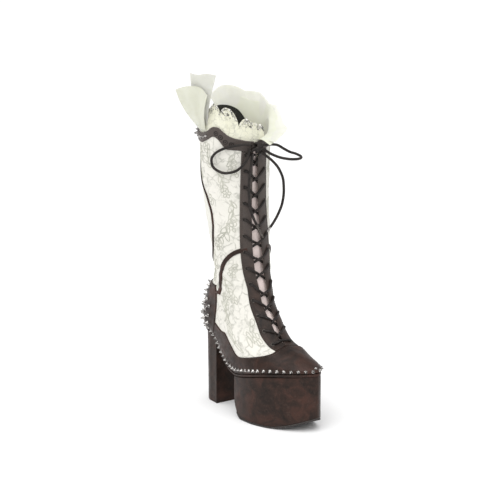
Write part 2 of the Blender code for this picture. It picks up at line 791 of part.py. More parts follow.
def eyelet_rows():
    """Grid rows of the eyelets, evenly spaced along the eyestay."""
    rows = np.linspace(*EYELET_ROWS, PATH_SAMPLES)
    column = COL_STAY * EYELET_COLUMN_SHARE
    path = np.array([grid_point(RIGHT, row, column) for row in rows])
    arc = np.concatenate([[0.0], np.cumsum(np.linalg.norm(np.diff(path, axis=0), axis=1))])
    return np.interp(np.linspace(0.0, arc[-1], EYELET_PAIRS), arc, rows)


def build_eyelets(rows):
    """A metal ring round every lace hole."""
    lift = GAP + OVERLAY + EYELET_SEAT + EYELET_WIRE
    bpy.ops.mesh.primitive_torus_add(
        major_segments=6, minor_segments=3,
        major_radius=EYELET_RING * MM, minor_radius=EYELET_WIRE * MM)
    first = bpy.context.object
    ring = first.data
    ring.materials.append(MATERIALS["dark_metal"])
    ring.shade_smooth()
    bpy.data.objects.remove(first)
    column = COL_STAY * EYELET_COLUMN_SHARE
    for side, word in ((LEFT, "left"), (RIGHT, "right")):
        for number, row in enumerate(rows, start=1):
            item = bpy.data.objects.new(f"eyelet_{word}_{number:02d}", ring)
            PARTS.objects.link(item)
            item.parent = ROOT
            normal = Vector(grid_normal(side, row, column))
            item.location = Vector(grid_point(side, row, column, lift) * MM)
            item.rotation_euler = normal.to_track_quat("Z", "Y").to_euler()


def add_tube(name, points, radius, finish, sides=2):
    """A round cord along points, with closed ends."""
    data = bpy.data.curves.new(name, "CURVE")
    data.dimensions = "3D"
    data.bevel_depth = radius * MM
    data.bevel_resolution = sides
    data.use_fill_caps = True
    spline = data.splines.new("POLY")
    spline.points.add(len(points) - 1)
    for target, point in zip(spline.points, points):
        target.co = (*(np.asarray(point) * MM), 1.0)
    data.materials.append(MATERIALS[finish])
    item = bpy.data.objects.new(name, data)
    PARTS.objects.link(item)
    item.parent = ROOT
    return item


def tube_to_mesh(item):
    """Turn a cord curve into a closed mesh with the same name and place."""
    graph = bpy.context.evaluated_depsgraph_get()
    mesh = bpy.data.meshes.new_from_object(item.evaluated_get(graph))
    shape = bmesh.new()
    shape.from_mesh(mesh)
    bmesh.ops.remove_doubles(shape, verts=shape.verts, dist=0.001 * MM)
    shape.to_mesh(mesh)
    shape.free()
    name = item.name
    place = item.matrix_world.copy()
    bpy.data.objects.remove(item)
    solid = bpy.data.objects.new(name, mesh)
    solid.matrix_world = place
    return solid


def lace_run(rows, first_side, cross_lift):
    """Points of one lace that zigzags up the eyelets and ends under the knot."""
    column = COL_STAY * EYELET_COLUMN_SHARE
    at_ring = GAP + OVERLAY + EYELET_SEAT + 2 * EYELET_WIRE + SEAM_GAP + LACE_RADIUS
    at_edge = at_ring - LACE_EDGE_DROP
    side = first_side
    bar = throat_point(rows[0], at_edge)
    points = [bar - (grid_point(side, rows[0], 0.0) - bar) * LACE_END_REACH,
              grid_point(side, rows[0], 0.0, at_edge)]
    for low, high in zip(rows[:-1], rows[1:]):
        steps = np.linspace(low, high, 5)
        points.append(grid_point(side, low, column, at_ring))
        points.append(grid_point(side, steps[1], 0.0, at_edge))
        points.append(throat_point(steps[2], at_edge + cross_lift))
        points.append(grid_point(-side, steps[3], 0.0, at_edge))
        side = -side
    points.append(grid_point(side, rows[-1], column, at_ring))
    points.append(grid_point(side, rows[-1], 0.0, at_edge))
    points.append(bow_place(LACE_END._replace(around=LACE_END_MIDDLE + side * LACE_END.around)))
    return points


def build_lacing(rows):
    """The crossed lacing as one joined solid."""
    under = add_tube("lacing", lace_run(rows, LEFT, 0.0), LACE_RADIUS, "lace_cord", sides=1)
    lift = 2 * LACE_RADIUS - LACE_LAP
    over = add_tube("lacing_over", lace_run(rows, RIGHT, lift), LACE_RADIUS, "lace_cord", sides=1)
    over = tube_to_mesh(over)
    CUTTERS.objects.link(over)
    over.hide_render = True
    over.display_type = "WIRE"
    lacing = tube_to_mesh(under)
    PARTS.objects.link(lacing)
    lacing.parent = ROOT
    over.parent = ROOT
    join = lacing.modifiers.new("crossings", "BOOLEAN")
    join.operation = "UNION"
    join.object = over


def bow_place(row):
    """A point of the bow, from its place round and out from the shaft."""
    side = LEFT if row.around >= 0.0 else RIGHT
    t = row.z - SHAFT_DATUM
    arc = abs(row.around)
    return on_surface(side, t, arc) + surface_normal(side, t, arc) * row.out


def bow_points(route):
    """A smooth cord path through a bow route, with points an even step apart."""
    places = np.array([bow_place(row) for row in route])
    ticks = np.arange(len(places))
    curves = [curve_through(ticks, places[:, i]) for i in range(3)]
    fine = np.linspace(0.0, len(places) - 1.0, PATH_SAMPLES)
    path = np.stack([curve(fine) for curve in curves], axis=1)
    arc = np.concatenate([[0.0], np.cumsum(np.linalg.norm(np.diff(path, axis=0), axis=1))])
    stops = np.linspace(0.0, arc[-1], round(arc[-1] / CORD_STEP) + 1)
    return [np.array([np.interp(stop, arc, path[:, i]) for i in range(3)]) for stop in stops]


def build_bow():
    """The knot, its two loops, the two free ends and their aglets."""
    bpy.ops.mesh.primitive_uv_sphere_add(segments=10, ring_count=6, radius=1.0)
    ball = bpy.context.object
    ball.name = "lace_knot"
    ball.data.name = "lace_knot"
    ball.data.transform(Matrix.Diagonal((*(np.array(KNOT_SIZE) * MM), 1.0)))
    ball.data.materials.append(MATERIALS["lace_cord"])
    ball.data.shade_smooth()
    ball.location = Vector(bow_place(KNOT_PLACE) * MM)
    for folder in ball.users_collection:
        folder.objects.unlink(ball)
    PARTS.objects.link(ball)
    ball.parent = ROOT
    for name, route in (("bow_loop_right", LOOP_RIGHT), ("bow_loop_left", LOOP_LEFT),
                        ("lace_end_left", END_LEFT), ("lace_end_front", END_FRONT)):
        points = bow_points(route)
        add_tube(name, points, LACE_RADIUS, "lace_cord")
        if name in AGLET_LENGTHS:
            heading = points[-1] - points[-2]
            heading = heading / np.linalg.norm(heading)
            start = points[-1] + heading * GAP
            tip = start + heading * AGLET_LENGTHS[name]
            add_tube(name.replace("lace_end", "aglet"), [start, tip], AGLET_RADIUS, "dark_metal")


def frill_lines(stations, rows, run, scallops=0):
    """Lines of points of a frill that stands up from inside the collar."""
    inside = -(WALL + GAP)
    root = [grid_point(side, ROW_EDGE - FRILL_ROOT_ROWS, column, inside) for side, column in stations]
    lines = [root]
    middle = stations[len(stations) // 2]
    hub = grid_point(middle[0], ROW_EDGE, middle[1], inside)
    heights = (run.start_height, run.mid_height, run.fall_height, run.end_height)
    height_along = curve_through(FRILL_SHARES, heights)
    for section in rows:
        climb = section.rise / rows[-1].rise
        line = []
        for i, (side, column) in enumerate(stations):
            share = i / (len(stations) - 1)
            height = float(height_along(share))
            lean = run.start_lean + (run.end_lean - run.start_lean) * share
            base = grid_point(side, ROW_EDGE, column, inside)
            outward = grid_normal(side, ROW_EDGE, column) * np.array([1.0, 1.0, 0.0])
            outward = outward / np.linalg.norm(outward)
            wave = section.wave * math.sin(2.0 * math.pi * run.waves * share)
            notch = 1.0 - abs(math.sin(math.pi * scallops * share)) if scallops else 0.0
            spread = (base - hub) * (run.fan - 1.0) * climb
            rise = section.rise * height * (1.0 - TRIM_SCALLOP_SHARE * notch * climb)
            place = base + spread + outward * (section.lean * lean + wave)
            line.append(place + np.array([0.0, 0.0, rise]))
        lines.append(line)
    return lines


def right_stations(run):
    """Stations of a frill that stays on the right side, a fixed step apart."""
    count = round((run.last - run.first) / FRILL_STEP) + 1
    return [(RIGHT, column) for column in np.linspace(run.first, run.last, count)]


def far_stations(run):
    """Stations from the right side, round the back, along the left to the front."""
    right = [(RIGHT, column) for column in np.arange(run.first, COL_BACK, FAR_FRILL_STEP)]
    left = [(LEFT, column) for column in np.arange(COL_BACK, run.last, -FAR_FRILL_STEP)]
    return right + left


def build_frills():
    """The organza frills and the scalloped trim that stand up from the collar."""
    far = frill_lines(far_stations(FAR_RUN), FAR_FRILL, FAR_RUN)
    add_sheet("frill_far", far, "organza", FRILL_THICK, False)
    back = frill_lines(right_stations(BACK_RUN), BACK_FRILL, BACK_RUN)
    add_sheet("frill_back", back, "organza", FRILL_THICK, False)
    trim = frill_lines(right_stations(TRIM_RUN), TRIM, TRIM_RUN, TRIM_SCALLOPS)
    add_sheet("scalloped_trim", trim, "organza", FRILL_THICK, False)


def place_origin():
    """Move the root so that the floor under the middle of the boot is the origin."""
    bpy.context.view_layer.update()
    graph = bpy.context.evaluated_depsgraph_get()
    cords = ("lace_knot", "bow_loop", "lace_end", "aglet")
    corners = []
    for item in PARTS.objects:
        if item.type == "EMPTY" or item.name.startswith(cords):
            continue
        solid = item.evaluated_get(graph)
        mesh = solid.to_mesh()
        places = np.empty(len(mesh.vertices) * 3, np.float32)
        mesh.vertices.foreach_get("co", places)
        matrix = np.array(solid.matrix_world)
        world = places.reshape(-1, 3) @ matrix[:3, :3].T + matrix[:3, 3]
        corners += [world.min(axis=0), world.max(axis=0)]
        solid.to_mesh_clear()
    low = np.min(corners, axis=0)
    high = np.max(corners, axis=0)
    ROOT.location = (-(low[0] + high[0]) / 2.0, -(low[1] + high[1]) / 2.0, -low[2])


PARTS, CUTTERS = clear_scene()
MATERIALS = {name: make_material(name) for name in FINISHES}
ROOT = bpy.data.objects.new("boot_frame", None)
PARTS.objects.link(ROOT)

build_sole()
build_upper()
build_straps()
lace_rows = eyelet_rows()
build_eyelets(lace_rows)
build_lacing(lace_rows)
build_bow()
build_frills()
place_origin()
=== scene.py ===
"""Dress of the tall platform boot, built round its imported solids.

Shapes are worked out in design millimetres: x from the back of the heel to the toe, y to the
wearer's left, z up from the floor. The same level loops as in the part's source give the
upper's surface, and every leather, lace and metal piece is laid on it.
"""

import logging
import math
from dataclasses import dataclass
from enum import IntEnum
from typing import Callable, NamedTuple, Sequence

import bmesh
import bpy
import numpy as np
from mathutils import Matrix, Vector


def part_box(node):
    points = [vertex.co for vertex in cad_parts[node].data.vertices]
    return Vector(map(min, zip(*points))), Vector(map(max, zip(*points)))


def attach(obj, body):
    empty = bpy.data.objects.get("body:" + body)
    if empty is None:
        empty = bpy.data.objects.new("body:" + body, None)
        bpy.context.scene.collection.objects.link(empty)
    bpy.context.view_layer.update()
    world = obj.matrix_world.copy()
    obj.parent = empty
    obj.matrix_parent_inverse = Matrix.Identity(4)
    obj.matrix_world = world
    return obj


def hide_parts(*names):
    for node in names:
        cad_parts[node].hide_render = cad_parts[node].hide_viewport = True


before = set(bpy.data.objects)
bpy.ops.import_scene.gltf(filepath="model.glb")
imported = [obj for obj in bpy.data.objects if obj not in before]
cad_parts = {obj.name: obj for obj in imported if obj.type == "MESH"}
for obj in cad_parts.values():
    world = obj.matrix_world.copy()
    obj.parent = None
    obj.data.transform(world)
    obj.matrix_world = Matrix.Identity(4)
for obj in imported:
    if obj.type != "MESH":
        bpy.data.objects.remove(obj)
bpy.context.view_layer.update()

Array = np.ndarray
Pair = tuple[float, float]
Triple = tuple[float, float, float]
Colour = Triple
Profile = Sequence[Pair]
Object = bpy.types.Object
Socket = bpy.types.NodeSocket
LOG = logging.getLogger("tall_boot")

MM = 0.001
BODY = "root"
UP = np.array([0.0, 0.0, 1.0])
SEED = 7
SHARP_ANGLE = 48.0
HEEL_BREAST = 51.0
WALL = 1.8
GAP = 0.3
OVERLAY = 1.3
SHAFT_DATUM = 94.0
COUNTER_TOP_T = 98.0
BOARD_GAP = 0.75

ROW_FOX, ROW_COUNTER, ROW_BAND, ROW_EDGE = 3, 8, 16, 17
COL_STAY, COL_COUNTER, COL_BACK = 4, 16, 23


class Side(IntEnum):
    """Side of the boot, as the sign of y."""

    LEFT = 1
    RIGHT = -1


class BedRow(NamedTuple):
    """Height of the foot bed and thickness of the board at x."""

    x: float
    height: float
    board: float


class Level(NamedTuple):
    """One level loop of the last."""

    t: float
    back_x: float
    back_z: float
    front_x: float
    front_z: float
    heel_half: float
    ball_half: float
    back_round: float
    front_round: float
    point: float
    shift: float


class ThroatRow(NamedTuple):
    """Half gap, eyestay width and counter reach at a level."""

    t: float
    half_gap: float
    stay: float
    counter: float


class EdgeRow(NamedTuple):
    """Level or height of an edge, by share of the way from front to back."""

    share: float
    level: float


class RoutePoint(NamedTuple):
    """A point of a cord: round from the front centre, out from the upper, height."""

    around: float
    out: float
    z: float


def rows_of(kind: type, *rows: tuple[float, ...]) -> tuple:
    """Rows of a table, each as a named tuple of one kind."""
    return tuple(kind(*row) for row in rows)


BED = rows_of(
    BedRow, (-4, 122.0, 2.5), (30, 118.0, 2.5), (52, 107.5, 2.5), (80, 85.5, 2.5), (104, 73.5, 2.8),
    (119, 71.5, 3.3), (150, 78.0, 4.2), (195, 88.0, 4.8), (251, 94.0, 4.2),
)
LEVELS = rows_of(
    Level, (0, 4.5, 121.5, 247.0, 94.0, 28.5, 44.0, 30, 88, 1.65, 0.0),
    (7, 3.0, 128.0, 245.5, 98.0, 30.0, 45.5, 31, 86, 1.65, 0.0),
    (13, 2.0, 133.0, 238.0, 102.0, 31.5, 45.0, 32, 84, 1.65, 0.0),
    (19, 2.0, 138.0, 227.0, 107.5, 32.3, 44.0, 33, 80, 1.65, 0.0),
    (25, 2.0, 143.5, 211.0, 114.5, 32.6, 43.0, 34, 74, 1.75, 0.0),
    (29, 2.0, 147.0, 197.0, 119.0, 32.8, 42.0, 35, 68, 1.85, 0.0),
    (34, 2.5, 150.5, 184.0, 123.0, 33.0, 41.0, 36, 63, 2.0, 0.0),
    (60, 6.0, 168.0, 158.0, 155.0, 33.0, 36.5, 40, 65, 2.0, 0.5),
    (82, 13.0, 186.0, 141.0, 179.0, 34.5, 36.5, 42, 58, 2.0, 1.0),
    (105, 25.5, 203.0, 131.0, 205.5, 38.0, 38.5, 45, 54, 2.0, 2.5),
    (130, 33.5, 222.0, 122.0, 231.0, 42.0, 42.0, 44.25, 44.25, 2.0, 2.5),
    (162, 32.0, 256.0, 119.0, 256.0, 44.0, 44.0, 43.5, 43.5, 2.0, 2.0),
    (191, 26.0, 285.0, 116.0, 285.0, 47.5, 47.5, 45.0, 45.0, 2.0, 1.5),
    (245, 15.5, 339.0, 113.5, 339.0, 50.5, 50.5, 49.0, 49.0, 2.0, 0.7),
    (330, 7.5, 424.0, 116.0, 424.0, 54.0, 54.0, 54.25, 54.25, 2.0, 0.0),
    (370, 3.5, 464.0, 118.0, 464.0, 56.5, 56.5, 57.25, 57.25, 2.0, 0.0),
)
THROAT = rows_of(
    ThroatRow, (0, 0.0, 26.0, 67.0), (34, 0.0, 26.0, 75.0), (48, 4.0, 24.5, 74.0), (82, 6.5, 20.0, 68.0),
    (105, 7.3, 18.5, 57.0), (162, 8.5, 19.5, 58.0), (245, 5.5, 19.5, 62.0), (370, 3.0, 19.5, 66.0),
)
VAMP_EDGE = rows_of(
    EdgeRow, (0.000, 34.0), (0.080, 30.0), (0.170, 25.5), (0.300, 21.5), (0.430, 19.0), (0.450, 20.5),
    (0.475, 28.0), (0.490, 33.5), (0.510, 35.5), (0.540, 34.0), (0.575, 32.3), (0.630, 31.2),
    (0.700, 30.5), (0.780, 26.0), (1.000, 22.0),
)
COLLAR_EDGE = rows_of(
    EdgeRow, (0.000, 431.0), (0.090, 433.5), (0.150, 436.0), (0.200, 438.0), (0.255, 442.0),
    (0.300, 448.3), (0.345, 453.8), (0.380, 454.0), (0.470, 445.0), (0.570, 441.0), (0.800, 447.0),
    (1.000, 453.0),
)
BAND_DEPTH = rows_of(
    EdgeRow, (0.000, 16.5), (0.150, 17.5), (0.220, 19.5), (0.280, 23.5), (0.320, 21.5), (0.380, 15.5),
    (0.470, 13.5), (0.570, 15.5), (1.000, 16.0),
)
TOE_X, TOE_INFLARE, INFLARE_START = 247.0, 24.0, 70.0
BED_FOLLOW_T, BED_FOLLOW_POWER = 72.0, 1.5


def curve_through(keys: Sequence[float], values: Sequence[float]) -> Callable[[Array], Array]:
    """Monotone cubic through the rows of a table.

    Args:
        keys: Rising keys of the rows.
        values: Value at each key.

    Returns:
        A function of the key that works on arrays.
    """
    keys = np.asarray(keys, float)
    values = np.asarray(values, float)
    steps = np.diff(keys)
    slopes = np.diff(values) / steps
    tangents = np.zeros_like(values)
    tangents[0] = slopes[0]
    tangents[-1] = slopes[-1]
    for i in range(1, len(values) - 1):
        if slopes[i - 1] * slopes[i] > 0.0:
            before = 2.0 * steps[i] + steps[i - 1]
            after = steps[i] + 2.0 * steps[i - 1]
            tangents[i] = (before + after) / (before / slopes[i - 1] + after / slopes[i])

    def evaluate(key: Array) -> Array:
        """Value of the curve at a key.

        Args:
            key: Keys.

        Returns:
            Values.
        """
        key = np.clip(key, keys[0], keys[-1])
        i = np.clip(np.searchsorted(keys, key, side="right") - 1, 0, len(steps) - 1)
        s = (key - keys[i]) / steps[i]
        rise = values[i + 1] - values[i]
        bend = s * (1.0 - s) ** 2 * tangents[i] - s * s * (1.0 - s) * tangents[i + 1]
        return values[i] + rise * s * s * (3.0 - 2.0 * s) + steps[i] * bend

    return evaluate


def columns_of(rows: Sequence[tuple], key: str) -> dict[str, Callable[[Array], Array]]:
    """Curves through every column of a table but its key.

    Args:
        rows: Rows of one named tuple.
        key: Name of the key column.

    Returns:
        A curve for each other column.
    """
    keys = [getattr(row, key) for row in rows]
    names = [name for name in rows[0]._fields if name != key]
    return {name: curve_through(keys, [getattr(row, name) for row in rows]) for name in names}


BED_CURVES = columns_of(BED, "x")
LEVEL_CURVES = columns_of(LEVELS, "t")
THROAT_CURVES = columns_of(THROAT, "t")
vamp_edge_level = columns_of(VAMP_EDGE, "share")["level"]
collar_edge_height = columns_of(COLLAR_EDGE, "share")["level"]
band_depth = columns_of(BAND_DEPTH, "share")["level"]


def bed_height(x: Array) -> Array:
    """Height of the foot bed at x."""
    return BED_CURVES["height"](x)


def board_top(x: Array) -> Array:
    """Top of the board under the upper at x."""
    return bed_height(x) - BOARD_GAP


def board_bottom(x: Array) -> Array:
    """Underside of the board at x."""
    return board_top(x) - BED_CURVES["board"](x)


def centre_line(x: Array) -> Array:
    """Sideways place of the last's middle at x."""
    reach = np.clip((x - INFLARE_START) / (TOE_X - INFLARE_START), 0.0, None)
    return TOE_INFLARE * reach ** 2


def ease(value: Array) -> Array:
    """Smooth step from 0 to 1."""
    value = np.clip(value, 0.0, 1.0)
    return value * value * (3.0 - 2.0 * value)


def round_end(depth: Array, power: float) -> Array:
    """Share of the full width at a depth from a rounded end."""
    inner = 1.0 - np.clip(depth, 0.0, 1.0)
    return np.clip(1.0 - inner ** power, 0.0, 1.0) ** (1.0 / power)


def half_width(level: Level, x: Array, grow: float = 0.0) -> Array:
    """Half width of a level loop at x.

    Args:
        level: The loop's row.
        x: Place along the boot.
        grow: Edge by which the outline is grown.

    Returns:
        Half widths in millimetres.
    """
    back = (x - level.back_x + grow) / (level.back_round + grow)
    front = (level.front_x + grow - x) / (level.front_round + grow)
    start = level.back_x + level.back_round
    span = max(level.front_x - level.front_round - start, 1.0)
    width = level.heel_half + (level.ball_half - level.heel_half) * ease((x - start) / span)
    return (width + grow) * round_end(back, 2.0) * round_end(front, level.point)


def unit(vectors: Array) -> Array:
    """Vectors at length one, along the last axis."""
    return vectors / np.maximum(np.linalg.norm(vectors, axis=-1, keepdims=True), 1e-9)


def path_length(points: Array) -> float:
    """Length of a path through points."""
    return float(np.linalg.norm(np.diff(points, axis=0), axis=1).sum())


def arc_along(points: Array) -> Array:
    """Distance of each point of a path from its start."""
    return np.concatenate([[0.0], np.cumsum(np.linalg.norm(np.diff(points, axis=0), axis=1))])


def resample(points: Array, step: float) -> Array:
    """Points an even step apart along a path.

    Args:
        points: The path.
        step: Wanted distance between points.

    Returns:
        The even path, with both ends kept.
    """
    arc = arc_along(points)
    count = max(2, round(arc[-1] / step) + 1)
    stops = np.linspace(0.0, arc[-1], count)
    return np.stack([np.interp(stops, arc, points[:, i]) for i in range(3)], axis=1)


def smooth_path(points: Array, fine: int = 12) -> Array:
    """A rounded path through control points.

    Args:
        points: Control points in order.
        fine: Samples between two of them.

    Returns:
        The sampled path.
    """
    padded = np.concatenate([[2 * points[0] - points[1]], points, [2 * points[-1] - points[-2]]])
    s = np.linspace(0.0, 1.0, fine, endpoint=False)[:, None]
    parts = []
    for i in range(len(points) - 1):
        a, b, c, d = padded[i:i + 4]
        parts.append(0.5 * (2 * b + (c - a) * s + (2 * a - 5 * b + 4 * c - d) * s ** 2
                            + (3 * b - a - 3 * c + d) * s ** 3))
    return np.concatenate(parts + [points[-1:]])


def ladder(first: float, last: float, step: float, near: Sequence[float] = ()) -> Array:
    """Stops from first to last, crowded near both ends.

    Args:
        first: First stop.
        last: Last stop.
        step: Distance between stops away from the ends.
        near: Distances of the crowded stops from each end.

    Returns:
        Rising or falling stops.
    """
    span = abs(last - first)
    sign = 1.0 if last >= first else -1.0
    edge = list(near) or [0.0]
    inner = np.linspace(edge[-1], span - edge[-1], max(2, round((span - 2 * edge[-1]) / step) + 1))
    stops = np.concatenate([edge[:-1], inner, span - np.array(edge[:-1])[::-1]])
    return first + sign * stops


@dataclass(frozen=True)
class Crease:
    """A soft trough pressed into both sides of the upper, between two places on it."""

    start: Pair
    end: Pair
    depth: float
    width: float


CREASES = (
    Crease((104.0, 24.0), (96.0, 62.0), 1.3, 5.0),
    Crease((118.0, 28.0), (116.0, 74.0), 1.1, 5.0),
    Crease((134.0, 46.0), (126.0, 96.0), 0.9, 5.5),
    Crease((90.0, 70.0), (108.0, 104.0), 1.0, 5.0),
    Crease((176.0, 34.0), (170.0, 70.0), 0.7, 7.0),
    Crease((206.0, 60.0), (198.0, 108.0), 0.7, 8.0),
    Crease((262.0, 40.0), (256.0, 86.0), 0.6, 9.0),
    Crease((27.0, 6.0), (20.0, 34.0), 0.7, 3.0),
    Crease((23.0, 3.0), (16.0, 40.0), 0.6, 3.0),
    Crease((46.0, 30.0), (34.0, 62.0), 0.8, 4.5),
)
RIDGE_SHARE = 0.45
RIDGE_REACH = 1.9


class Last:
    """The upper's outer surface, as level loops round the last."""

    SHARES = 301
    LOOP_POINTS = 241
    COLUMN_STEP = 0.25
    STEP = 1.2

    def __init__(self) -> None:
        """Sample the loops of both sides once."""
        self.top = LEVELS[-1].t
        levels = np.arange(0.0, self.top + 1.0)
        self._places: dict[int, Array] = {}
        self._lengths: dict[int, Array] = {}
        for side in Side:
            loops = [self._half_loop(t, side) for t in levels]
            self._places[side] = np.array([loop for loop, _ in loops])
            self._lengths[side] = np.array([length for _, length in loops])
        self._columns = np.arange(0.0, COL_BACK + self.COLUMN_STEP / 2, self.COLUMN_STEP)
        self._fox = {side: self._fox_levels(side) for side in Side}
        shares = {side: self._collar_shares(side) for side in Side}
        self._edge = {side: collar_edge_height(shares[side]) - SHAFT_DATUM for side in Side}
        self._band = {side: self._edge[side] - band_depth(shares[side]) for side in Side}

    def _half_loop(self, t: float, side: int) -> tuple[Array, float]:
        """One side of a level loop, front to back, and its length.

        Args:
            t: Level up the last.
            side: Side of the boot.

        Returns:
            Points at even shares of the way, and the length.
        """
        level = Level(t, *(float(LEVEL_CURVES[name](t)) for name in Level._fields[1:]))
        turn = np.linspace(0.0, math.pi, self.LOOP_POINTS)
        span = level.front_x - level.back_x
        x = level.front_x - span * (1.0 - np.cos(turn)) / 2.0
        y = centre_line(x) + level.shift + side * half_width(level, x)
        share = (x - level.back_x) / span
        bed_back = bed_height(level.back_x)
        bed_chord = bed_back + (bed_height(level.front_x) - bed_back) * share
        follow = max(0.0, 1.0 - t / BED_FOLLOW_T) ** BED_FOLLOW_POWER
        chord = level.back_z + (level.front_z - level.back_z) * share
        points = np.stack([x, y, chord + follow * (bed_height(x) - bed_chord)], axis=1)
        arc = arc_along(points)
        stops = np.linspace(0.0, arc[-1], self.SHARES)
        return np.stack([np.interp(stops, arc, points[:, i]) for i in range(3)], axis=1), arc[-1]

    def length(self, side: int, t: Array) -> Array:
        """Length of one side of a level loop."""
        return np.interp(t, np.arange(len(self._lengths[side])), self._lengths[side])

    def _lookup(self, side: int, t: Array, share: Array) -> Array:
        """Surface point at a level and a share of the loop.

        Args:
            side: Side of the boot.
            t: Levels up the last.
            share: Shares of the loop from the front.

        Returns:
            Points.
        """
        table = self._places[side]
        t = np.clip(t, 0.0, self.top - 1e-6)
        i = t.astype(int)
        f = (t - i)[..., None]
        spot = share * (self.SHARES - 1)
        j = np.minimum(spot.astype(int), self.SHARES - 2)
        g = (spot - j)[..., None]
        low = table[i, j] * (1 - g) + table[i, j + 1] * g
        high = table[i + 1, j] * (1 - g) + table[i + 1, j + 1] * g
        return low * (1 - f) + high * f

    def point(self, side: int, t: Array, arc: Array) -> Array:
        """Surface point at a level and a distance from the front.

        Args:
            side: Side of the boot.
            t: Levels.
            arc: Distances; past either end they go on along the other side.

        Returns:
            Points in design millimetres.
        """
        t, arc = np.broadcast_arrays(np.asarray(t, float), np.asarray(arc, float))
        length = self.length(side, t)
        over = arc > length
        folded = np.where(over, 2.0 * length - arc, arc)
        share = np.clip(np.abs(folded) / length, 0.0, 1.0)
        other = (over | (folded < 0.0))[..., None]
        return np.where(other, self._lookup(-side, t, share), self._lookup(side, t, share))

    def normal(self, side: int, t: Array, arc: Array) -> Array:
        """Outward direction of the surface.

        Args:
            side: Side of the boot.
            t: Levels up the last.
            arc: Distances from the front centre.

        Returns:
            Unit vectors.
        """
        t, arc = np.broadcast_arrays(np.asarray(t, float), np.asarray(arc, float))
        along = self.point(side, t, arc + self.STEP) - self.point(side, t, arc - self.STEP)
        up = np.minimum(t + self.STEP, self.top)
        down = np.maximum(t - self.STEP, 0.0)
        return unit(np.cross(self.point(side, up, arc) - self.point(side, down, arc), along) * -side)

    def crease(self, t: Array, arc: Array) -> Array:
        """Depth of the creases at a place, inward negative.

        Args:
            t: Levels up the last.
            arc: Distances from the front centre.

        Returns:
            Depths in millimetres.
        """
        total = np.zeros(np.broadcast(t, arc).shape)
        for crease in CREASES:
            a = np.array(crease.start)
            b = np.array(crease.end)
            line = b - a
            share = ((t - a[0]) * line[0] + (arc - a[1]) * line[1]) / (line @ line)
            near = np.clip(share, 0.0, 1.0)
            gap = np.hypot(t - a[0] - near * line[0], arc - a[1] - near * line[1]) / crease.width
            fade = np.sin(math.pi * np.clip(share, 0.02, 0.98)) ** 0.5
            ridge = RIDGE_SHARE * np.exp(-((gap - RIDGE_REACH) ** 2))
            total += crease.depth * fade * (ridge - np.exp(-gap ** 2))
        return total

    def place(self, side: int, t: Array, arc: Array, offset: Array = 0.0) -> Array:
        """Point over the creased surface, a distance out from it."""
        lift = np.asarray(offset) + self.crease(np.asarray(t, float), np.asarray(arc, float))
        return self.point(side, t, arc) + self.normal(side, t, arc) * np.asarray(lift)[..., None]

    def arc_of(self, side: int, t: Array, column: Array) -> Array:
        """Distance of a grid column from the front centre.

        Args:
            side: Side of the boot.
            t: Levels up the last.
            column: Grid columns.

        Returns:
            Distances in millimetres.
        """
        gap = THROAT_CURVES["half_gap"](t)
        stay = gap + THROAT_CURVES["stay"](t)
        length = self.length(side, t)
        counter = length - THROAT_CURVES["counter"](t)
        front = gap + (stay - gap) * column / COL_STAY
        middle = stay + (counter - stay) * (column - COL_STAY) / (COL_COUNTER - COL_STAY)
        back = counter + (length - counter) * (column - COL_COUNTER) / (COL_BACK - COL_COUNTER)
        return np.where(column < COL_STAY, front, np.where(column < COL_COUNTER, middle, back))

    def _fox_levels(self, side: int) -> Array:
        """Level of the vamp's top edge at each sampled column.

        Args:
            side: Side of the boot.

        Returns:
            Levels.
        """
        t = np.full(len(self._columns), float(vamp_edge_level(0.5)))
        for _ in range(12):
            share = self.arc_of(side, t, self._columns) / self.length(side, t)
            t = 0.5 * (t + vamp_edge_level(share))
        return t

    def _collar_shares(self, side: int) -> Array:
        """Share of the way from front to back at the collar, for each sampled column."""
        t = np.full(len(self._columns), float(collar_edge_height(0.0)) - SHAFT_DATUM)
        return self.arc_of(side, t, self._columns) / self.length(side, t)

    def fox_level(self, side: int, column: Array) -> Array:
        """Level of the vamp's top edge at a column."""
        return np.interp(column, self._columns, self._fox[side])

    def level_of(self, side: int, row: Array, column: Array) -> Array:
        """Level of a grid row at a column.

        Args:
            side: Side of the boot.
            row: Grid rows.
            column: Grid columns.

        Returns:
            Levels.
        """
        fox = self.fox_level(side, column)
        edge = np.interp(column, self._columns, self._edge[side])
        band = np.interp(column, self._columns, self._band[side])
        low = fox * row / ROW_FOX
        ankle = fox + (COUNTER_TOP_T - fox) * (row - ROW_FOX) / (ROW_COUNTER - ROW_FOX)
        shaft = COUNTER_TOP_T + (band - COUNTER_TOP_T) * (row - ROW_COUNTER) / (ROW_BAND - ROW_COUNTER)
        collar = band + (edge - band) * (row - ROW_BAND)
        upper = np.where(row < ROW_BAND, shaft, collar)
        return np.where(row < ROW_FOX, low, np.where(row < ROW_COUNTER, ankle, upper))

    def spot(self, side: int, row: Array, column: Array) -> tuple[Array, Array]:
        """Level and distance from the front centre at a grid row and column.

        Args:
            side: Side of the boot.
            row: Grid rows.
            column: Grid columns.

        Returns:
            Levels and distances.
        """
        row, column = np.broadcast_arrays(np.asarray(row, float), np.asarray(column, float))
        t = self.level_of(side, row, column)
        return t, self.arc_of(side, t, column)

    def on_grid(self, side: int, row: Array, column: Array, offset: Array = 0.0) -> Array:
        """Point over the surface at a grid row and column."""
        return self.place(side, *self.spot(side, row, column), offset)

    def grid_normal(self, side: int, row: Array, column: Array) -> Array:
        """Outward direction at a grid row and column."""
        return self.normal(side, *self.spot(side, row, column))

